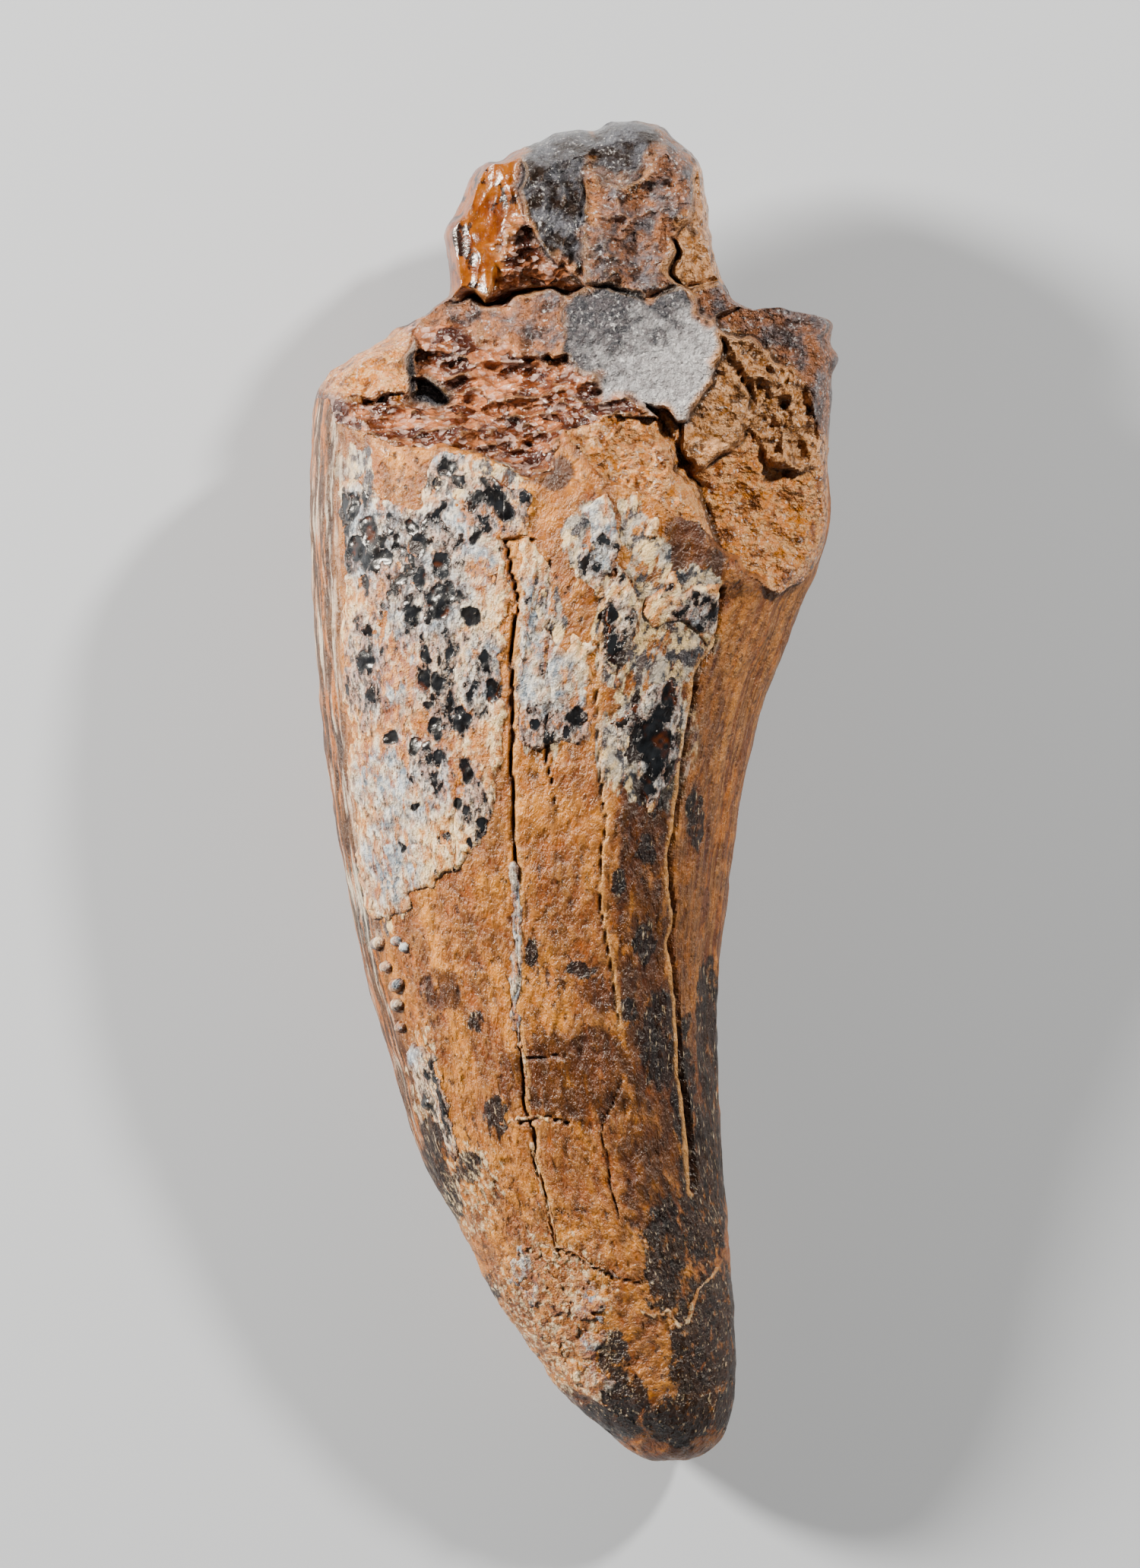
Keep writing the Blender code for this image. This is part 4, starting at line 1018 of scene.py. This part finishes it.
def paints(colors, names):
    """The colours of these names, ready to be mixed."""
    return [np.array((*getattr(colors, name), 1.0)) for name in names.split()]


def mixed(share, first, second):
    """A colour between the first, where share is 0, and the second, where it is 1."""
    return first + share * (second - first)


def dentine_material(colors):
    """Orange-brown dentine: leathery, with darker bands, black stains and streaked edges."""
    material, shader, nodes = new_material("dentine")
    mottle, spread, field, tint = nodes.mottle, nodes.spread, nodes.field, nodes.tint
    orange, brown, tan, black, cream, blue, grey = paints(colors, "orange brown tan black cream blue grey")
    # pale is the painted highlight on the leathery lumps and on the lit lips of the cracks
    pale, deep_brown = mixed(0.3, tan, cream), mixed(0.6, brown, black)
    cloud = mottle((5, 9, 5), 1, 0.42, 0.6, 2)
    patchy = mottle((2.4, 3.4, 2.4), 31, 0.38, 0.6, 5)
    leather = mottle((1.1, 1.6, 1.1), 2, 0.36, 0.64, 5)
    grain = mottle((0.4, 0.55, 0.4), 3, 0.36, 0.62)
    streak = mottle((0.4, 8, 0.5), 4, 0.42, 0.58)
    speck = nodes.times(mottle((0.7, 1.1, 0.7), 5, 0.56, 0.66, 4), mottle((5, 6, 5), 32, 0.46, 0.58))
    fibre = field("fibre")
    lit = tint(patchy, tint(cloud, orange, tan),
               tint(cloud, mixed(0.5, orange, brown), mixed(0.3, orange, tan)))
    band = tint(patchy, mixed(0.15, brown, orange), mixed(0.3, brown, black))
    film = tint(mottle((2.2, 3, 2.2), 19), cream, mixed(0.6, cream, blue))
    film = tint(mottle((1.2, 2, 1.2), 18, 0.46, 0.56, 7), film, mixed(0.12, black, blue))
    flank = mottle((1.4, 2.8, 1.4), 20, 0.34, 0.54, 6)
    flank = tint(flank, mixed(0.4, orange, tan), mixed(0.7, orange, brown))
    flank = tint(nodes.times(streak, 0.25), flank, mixed(0.4, tan, cream))
    lined = tint(mottle((1, 9, 2), 8, 0.4, 0.56, 5), mixed(0.55, cream, blue), mixed(0.3, orange, tan))
    lined = tint(mottle((0.5, 5, 1), 7, 0.42, 0.54, 7), lined, mixed(0.75, brown, black))
    stained_with_glints = tint(mottle((0.9, 2.6, 0.9), 7, 0.42, 0.6, 5), deep_brown, black)
    # pale streaks in the stains: pale fibres, and painted glints
    stained_with_glints = tint(mottle((0.35, 1.4, 0.35), 33, 0.6, 0.68, 4), stained_with_glints, mixed(0.5, grey, cream))
    color = nodes.coats(
        lit,
        # painted highlight on the raised leathery lumps
        (leather, 0.28, pale),
        # painted glints on the fine raised grain
        (grain, 0.15, mixed(0.35, tan, cream)),
        (speck, 0.85, mixed(0.5, brown, black)),
        # painted shade in the hollows
        (nodes.ramp(field("hollow"), -0.02, 0.04), 0.6, brown),
        (spread((1.8, 3, 1.8), 6, "shade", 0.35, 0.6, 0.84, 5), 0.85, band),
        (spread((1.1, 2.4, 1.1), 16, "film", 0.32, 0.7, 0.8, 6), 0.9, film),
        (fibre, 0.85, tint(field("cool"), flank, lined)),
        (spread((0.9, 1.6, 0.9), 10, "stain", 0.38, 0.64, 0.84, 7), 0.95, stained_with_glints),
        # whitish frost, with painted highlights on its wrinkles
        (spread((0.8, 1, 0.8), 9, "frost", 0.22, 0.7, 0.86, 8), 0.85, mixed(0.25, cream, blue)),
        # painted highlight on the lit lips of the cracks
        (field("lip"), 0.7, pale),
        (spread((0.6, 0.9, 0.6), 30, "dark", 0.5, 0.72, 0.85), 1, mixed(0.3, black, brown)),
        (field("cut"), 0.8, mixed(0.7, black, brown)))
    height = nodes.total((leather, 0.8), (grain, 0.25), (nodes.times(streak, fibre), 0.4), (speck, -0.4))
    roughness = nodes.blend(fibre, nodes.blend(leather, 0.4, 0.26), 0.45)
    finish_material(nodes, shader, color, roughness, height, 0.2)
    return material


def root_material(colors):
    """The fresh breaks: glassy brown chips, and pieces in amber, grey and rough brown."""
    material, shader, nodes = new_material("broken_root")
    mottle, field, tint, coats = nodes.mottle, nodes.field, nodes.tint, nodes.coats
    glass, brown, flesh, amber, grey, umber, tan, black, cream, orange = paints(
        colors, "glass brown flesh amber grey umber tan black cream orange")
    white = np.array((0.8, 0.8, 0.82, 1.0))
    deep_brown, chestnut = mixed(0.6, brown, black), mixed(0.6, orange, brown)
    flake_height, flake_tone = nodes.chips((2.2, 1.1, 2.2))
    crumb_height, crumb_tone = nodes.chips((0.7, 0.5, 0.7))
    cloud = mottle((2.6, 2.6, 2.6), 11, 0.4, 0.62, 4)
    fleck = mottle((0.8, 0.7, 0.8), 12, 0.42, 0.6, 4)
    leather = mottle((0.5, 0.5, 0.5), 13, 0.3, 0.7)
    streak = mottle((0.5, 3, 0.5), 14, 0.38, 0.62)
    stain = mottle((1.6, 1.8, 1.6), 15, 0.54, 0.62, 5)
    slope = coats(tint(cloud, mixed(0.6, tan, flesh), mixed(0.6, orange, tan)),
                  (fleck, 0.5, mixed(0.6, flesh, cream)), (stain, 0.8, chestnut))
    lightness = nodes.total((field("tone"), 0.3), (0.3, 1.0), (flake_tone, 0.5))
    glassy = tint(nodes.ramp(lightness, 0.36, 0.8), mixed(0.4, glass, black), mixed(0.25, flesh, orange))
    glassy = coats(glassy, (cloud, 0.4, mixed(0.5, orange, glass)),
                   # painted glints on some of the small facets
                   (nodes.ramp(crumb_tone, 0.76, 0.84), 0.35, mixed(0.4, flesh, white)))
    clear = coats(tint(cloud, mixed(0.25, amber, tan), amber), (streak, 0.4, orange), (stain, 1, deep_brown))
    # painted light and shade: the grey patch paler towards its lower right and darker above
    spot = nodes.add("SeparateXYZ", {0: nodes.place})
    cloudy = mottle((1.6, 1.6, 1.6), 32, detail=7, output="Noise")
    painted_lower_right_light = nodes.ramp(nodes.total((spot[0], 0.06), (spot[1], -0.1), (cloudy, 2.6)), -3.1, -2.2)
    leathery = coats(tint(painted_lower_right_light, mixed(0.7, grey, black), mixed(0.4, grey, white)),
                     (fleck, 0.4, mixed(0.6, umber, grey)))
    bony = coats(tint(cloud, mixed(0.6, umber, flesh), mixed(0.7, umber, grey)),
                 (fleck, 0.5, mixed(0.4, umber, brown)), (stain, 0.7, deep_brown))
    glitter = tint(cloud, mixed(0.85, umber, black), mixed(0.3, grey, black))
    sponge = coats(tint(fleck, mixed(0.3, flesh, cream), mixed(0.4, umber, tan)), (stain, 0.8, brown))
    # painted glints: white specks laid over the colour of the breaks
    painted_glint = nodes.times(mottle((0.4, 0.4, 0.4), 18, 0.56, 0.68, 4),
                        nodes.blend(mottle((2, 2, 2), 19), 0.3, 1.2))
    color, roughness = slope, 0.17
    for name, paint, rough in (("glassy", glassy, 0.15), ("amber", clear, 0.25), ("grey", leathery, 0.25),
                               ("sparkle", glitter, 0.14), ("umber", bony, 0.16), ("spongy", sponge, 0.22)):
        share = field(name)
        color = tint(share, color, paint)
        roughness = nodes.blend(share, roughness, rough)
    painted_glint_share, faceted, pebbled = (
        nodes.total((least, 1.0), *((field(name), weight) for name, weight in weights.items()))
        for least, weights in (
            (0.5, {"amber": -0.45, "glassy": -0.35}),
            (0.85, {"amber": -0.8, "glassy": 0.15, "grey": -0.65}),
            (0.7, {"amber": -0.65, "glassy": -0.5, "grey": 0.5, "umber": 0.4, "sparkle": 0.8})))
    # painted highlight on the ridges, painted shade in the hollows, and the painted glints
    color = coats(color, (nodes.ramp(field("hollow"), -0.04, -0.16), 0.15, mixed(0.5, flesh, cream)),
                  (nodes.ramp(field("hollow"), 0.05, 0.3), 0.8, deep_brown), (painted_glint, painted_glint_share, white))
    facets = nodes.total((flake_height, 1.1), (crumb_height, 0.5))
    height = nodes.total((nodes.times(faceted, facets), 1.0), (nodes.times(pebbled, leather), 0.5))
    finish_material(nodes, shader, color, roughness, height, 0.8)
    return material


def crust_material(colors):
    """The mineral crust: cream and blue grey, rusty in places, with dark windows and painted shade in its
    hollows.
    """
    material, shader, nodes = new_material("mineral_crust")
    mottle, spread, field, tint, ramp = nodes.mottle, nodes.spread, nodes.field, nodes.tint, nodes.ramp
    cream, blue, ochre, black, orange, brown, tan = paints(colors, "cream blue ochre black orange brown tan")
    white, navy = np.ones(4), mixed(0.1, black, blue)
    cloud = mottle((1.6, 2.4, 1.6), 21, 0.4, 0.6, 4)
    fleck = mottle((0.6, 0.9, 0.6), 22, 0.42, 0.6, 4)
    fine = mottle((0.25, 0.3, 0.25), 23, 0.35, 0.65)
    warm = tint(nodes.times(cloud, 0.6), cream, mixed(0.3, tan, cream))
    cool = tint(cloud, mixed(0.3, blue, white), mixed(0.5, blue, black))
    cool_share = nodes.times(field("cool"), nodes.blend(mottle((2.4, 3, 2.4), 24, 0.38, 0.58), 0.35, 1.0))
    rusty = tint(fleck, ochre, mixed(0.5, ochre, brown))
    grimy = tint(cool_share, mixed(0.5, ochre, tan), mixed(0.62, blue, black))
    window = nodes.gathered((1.4, 2.1, 1.4), 26, "windows", 0.12)
    web = nodes.times(ramp(window, 0.52, 0.57), field("windows"))
    dark = nodes.gathered((0.6, 0.9, 0.6), 30, "dark", 0.5, 5)
    peppered = spread((0.4, 0.9, 0.4), 35, "windows", 0.08, 0.57, 0.66, 5)
    core = nodes.math("MAXIMUM", ramp(window, 0.63, 0.7), ramp(dark, 0.74, 0.9))
    color = nodes.coats(
        tint(cool_share, warm, cool),
        (fleck, 0.45, mixed(0.5, cream, white)),
        (mottle((0.9, 1.5, 0.9), 34, 0.47, 0.58, 6), 0.78, grimy),
        (spread((1.4, 1.8, 1.4), 27, "rust", 0.25, 0.62, 0.78), 0.9, rusty),
        (spread((1, 2.2, 1), 28, "bare", 0.12, 0.5, 0.66), 0.85, tint(fleck, orange, tan)),
        (web, 0.35, mixed(0.6, white, blue)),
        (ramp(window, 0.56, 0.66), 0.75, tint(cloud, mixed(0.4, navy, ochre), brown)),
        (ramp(dark, 0.6, 0.76), 0.8, tint(cloud, navy, brown)),
        (peppered, 0.8, tint(cloud, navy, mixed(0.6, brown, black))),
        (core, 0.97, tint(nodes.times(cloud, 0.3), black, navy)),
        # painted shade in the hollows
        (ramp(field("hollow"), 0.02, 0.07), 0.5, mixed(0.5, brown, black)),
        (ramp(field("height"), 0.12, 0.0), 0.6, mixed(0.5, orange, brown)))
    whole = nodes.total((core, -0.9), (1.0, 1.0))
    height = nodes.times(nodes.total((fleck, 0.6), (fine, 0.4)), whole)
    height = nodes.total((height, 1.0), (core, -0.4))
    roughness = nodes.blend(core, nodes.blend(fleck, 0.5, 0.36), 0.26)
    finish_material(nodes, shader, color, roughness, height, 0.15)
    return material


def place_piece(mesh, material):
    """Puts a finished mesh in the scene, on the tooth's body, in place of its plain shape."""
    piece = bpy.data.objects.new(mesh.name, mesh)
    bpy.context.scene.collection.objects.link(piece)
    mesh.materials.append(material)
    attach(piece, "root")
    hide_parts("tooth")


class TOOTH_OT_crown(bpy.types.Operator):
    """Build the tooth's crown, up to the rim where its wall is broken off"""

    bl_idname = "tooth.crown"
    bl_label = "Crown"

    def execute(self, context):
        sizes = context.scene.tooth_sizes
        mesh = shell_mesh("crown", *crown_shell(sizes.crown_rows, sizes.relief), slice(1, None))
        place_piece(mesh, dentine_material(context.scene.tooth_colors))
        return {"FINISHED"}


class TOOTH_OT_broken_root(bpy.types.Operator):
    """Build the broken root above the crown, and the stub that stands on it"""

    bl_idname = "tooth.broken_root"
    bl_label = "Broken root"

    def execute(self, context):
        sizes = context.scene.tooth_sizes
        material = root_material(context.scene.tooth_colors)
        for name, low, high, rows, across, keep in (
                ("broken_root", share_at(ROOT_FOOT), share_at(ROOT_TOP), sizes.root_rows, ROOT_ACROSS,
                 slice(None)),
                ("root_stub", share_at(STUB_FOOT), 1.0, sizes.stub_rows, STUB_ACROSS, slice(-1))):
            shell = root_shell(np.linspace(low, high, rows), across, sizes.relief, name == "root_stub")
            place_piece(shell_mesh(name, *shell, keep), material)
        return {"FINISHED"}


class TOOTH_OT_crust(bpy.types.Operator):
    """Build the mineral crust, the veins and the beads on the crown"""

    bl_idname = "tooth.crust"
    bl_label = "Mineral crust"

    def execute(self, context):
        step = context.scene.tooth_sizes.crust_step / MM
        material = crust_material(context.scene.tooth_colors)
        for name, (q_range, y_range) in CRUST_PARTS.items():
            place_piece(flake_mesh(name, *crust_flake(q_range, y_range, step)), material)
        return {"FINISHED"}


class TOOTH_OT_stage(bpy.types.Operator):
    """Build the pale floor, the soft lights and the camera above the tooth"""

    bl_idname = "tooth.stage"
    bl_label = "Stage"

    def execute(self, context):
        scene = context.scene
        mesh = bpy.data.meshes.new("floor")
        corners = [(FLOOR_HALF * x, FLOOR_HALF * y, 0) for x, y in ((-1, -1), (1, -1), (1, 1), (-1, 1))]
        mesh.from_pydata(corners, [], [(0, 1, 2, 3)])
        floor = bpy.data.objects.new("floor", mesh)
        scene.collection.objects.link(floor)
        material, shader, _ = new_material("floor")
        shader.inputs["Base Color"].default_value = (*scene.tooth_colors.floor, 1.0)
        shader.inputs["Roughness"].default_value = 0.8
        mesh.materials.append(material)
        for name, (spot, size, power) in LIGHTS.items():
            light = bpy.data.lights.new(name, "AREA")
            light.shape, light.size, light.energy, light.color = "DISK", size, power, LIGHT_COLOR
            lamp = bpy.data.objects.new(name, light)
            lamp.location = spot
            lamp.rotation_euler = (-Vector(spot)).to_track_quat("-Z", "Y").to_euler()
            scene.collection.objects.link(lamp)
        scene.world = bpy.data.worlds.new("studio")
        scene.world.use_nodes = True
        background = scene.world.node_tree.nodes["Background"].inputs
        background["Color"].default_value = SKY_COLOR
        background["Strength"].default_value = SKY_STRENGTH
        lens = bpy.data.cameras.new("camera")
        lens.sensor_fit, lens.sensor_height, lens.lens, lens.clip_end = (
            "VERTICAL", SENSOR_HEIGHT, FOCAL_LENGTH, 10)
        scene.camera = bpy.data.objects.new("camera", lens)
        scene.camera.location = CAMERA_PLACE
        scene.collection.objects.link(scene.camera)
        return {"FINISHED"}


class TOOTH_PT_panel(bpy.types.Panel):
    """The tooth's settings and the buttons that build it"""

    bl_idname = "TOOTH_PT_panel"
    bl_label = "Fossil Tooth"
    bl_space_type = "VIEW_3D"
    bl_region_type = "UI"
    bl_category = "Fossil Tooth"

    def draw(self, context):
        for group in (context.scene.tooth_sizes, context.scene.tooth_colors):
            for name in group.__annotations__:
                self.layout.prop(group, name)
        for operator in STEPS:
            self.layout.operator(operator)


STEPS = ("tooth.crown", "tooth.broken_root", "tooth.crust", "tooth.stage")
CLASSES = (ToothSettings, ToothColors, TOOTH_OT_crown, TOOTH_OT_broken_root, TOOTH_OT_crust,
           TOOTH_OT_stage, TOOTH_PT_panel)


def register():
    for item in CLASSES:
        bpy.utils.register_class(item)
    bpy.types.Scene.tooth_sizes = PointerProperty(type=ToothSettings)
    bpy.types.Scene.tooth_colors = PointerProperty(type=ToothColors)


def unregister():
    del bpy.types.Scene.tooth_colors
    del bpy.types.Scene.tooth_sizes
    for item in reversed(CLASSES):
        bpy.utils.unregister_class(item)


def main():
    """Builds the tooth and its stage."""
    register()
    bpy.ops.tooth.crown()
    bpy.ops.tooth.broken_root()
    bpy.ops.tooth.crust()
    bpy.ops.tooth.stage()


if __name__ == "__main__":
    main()
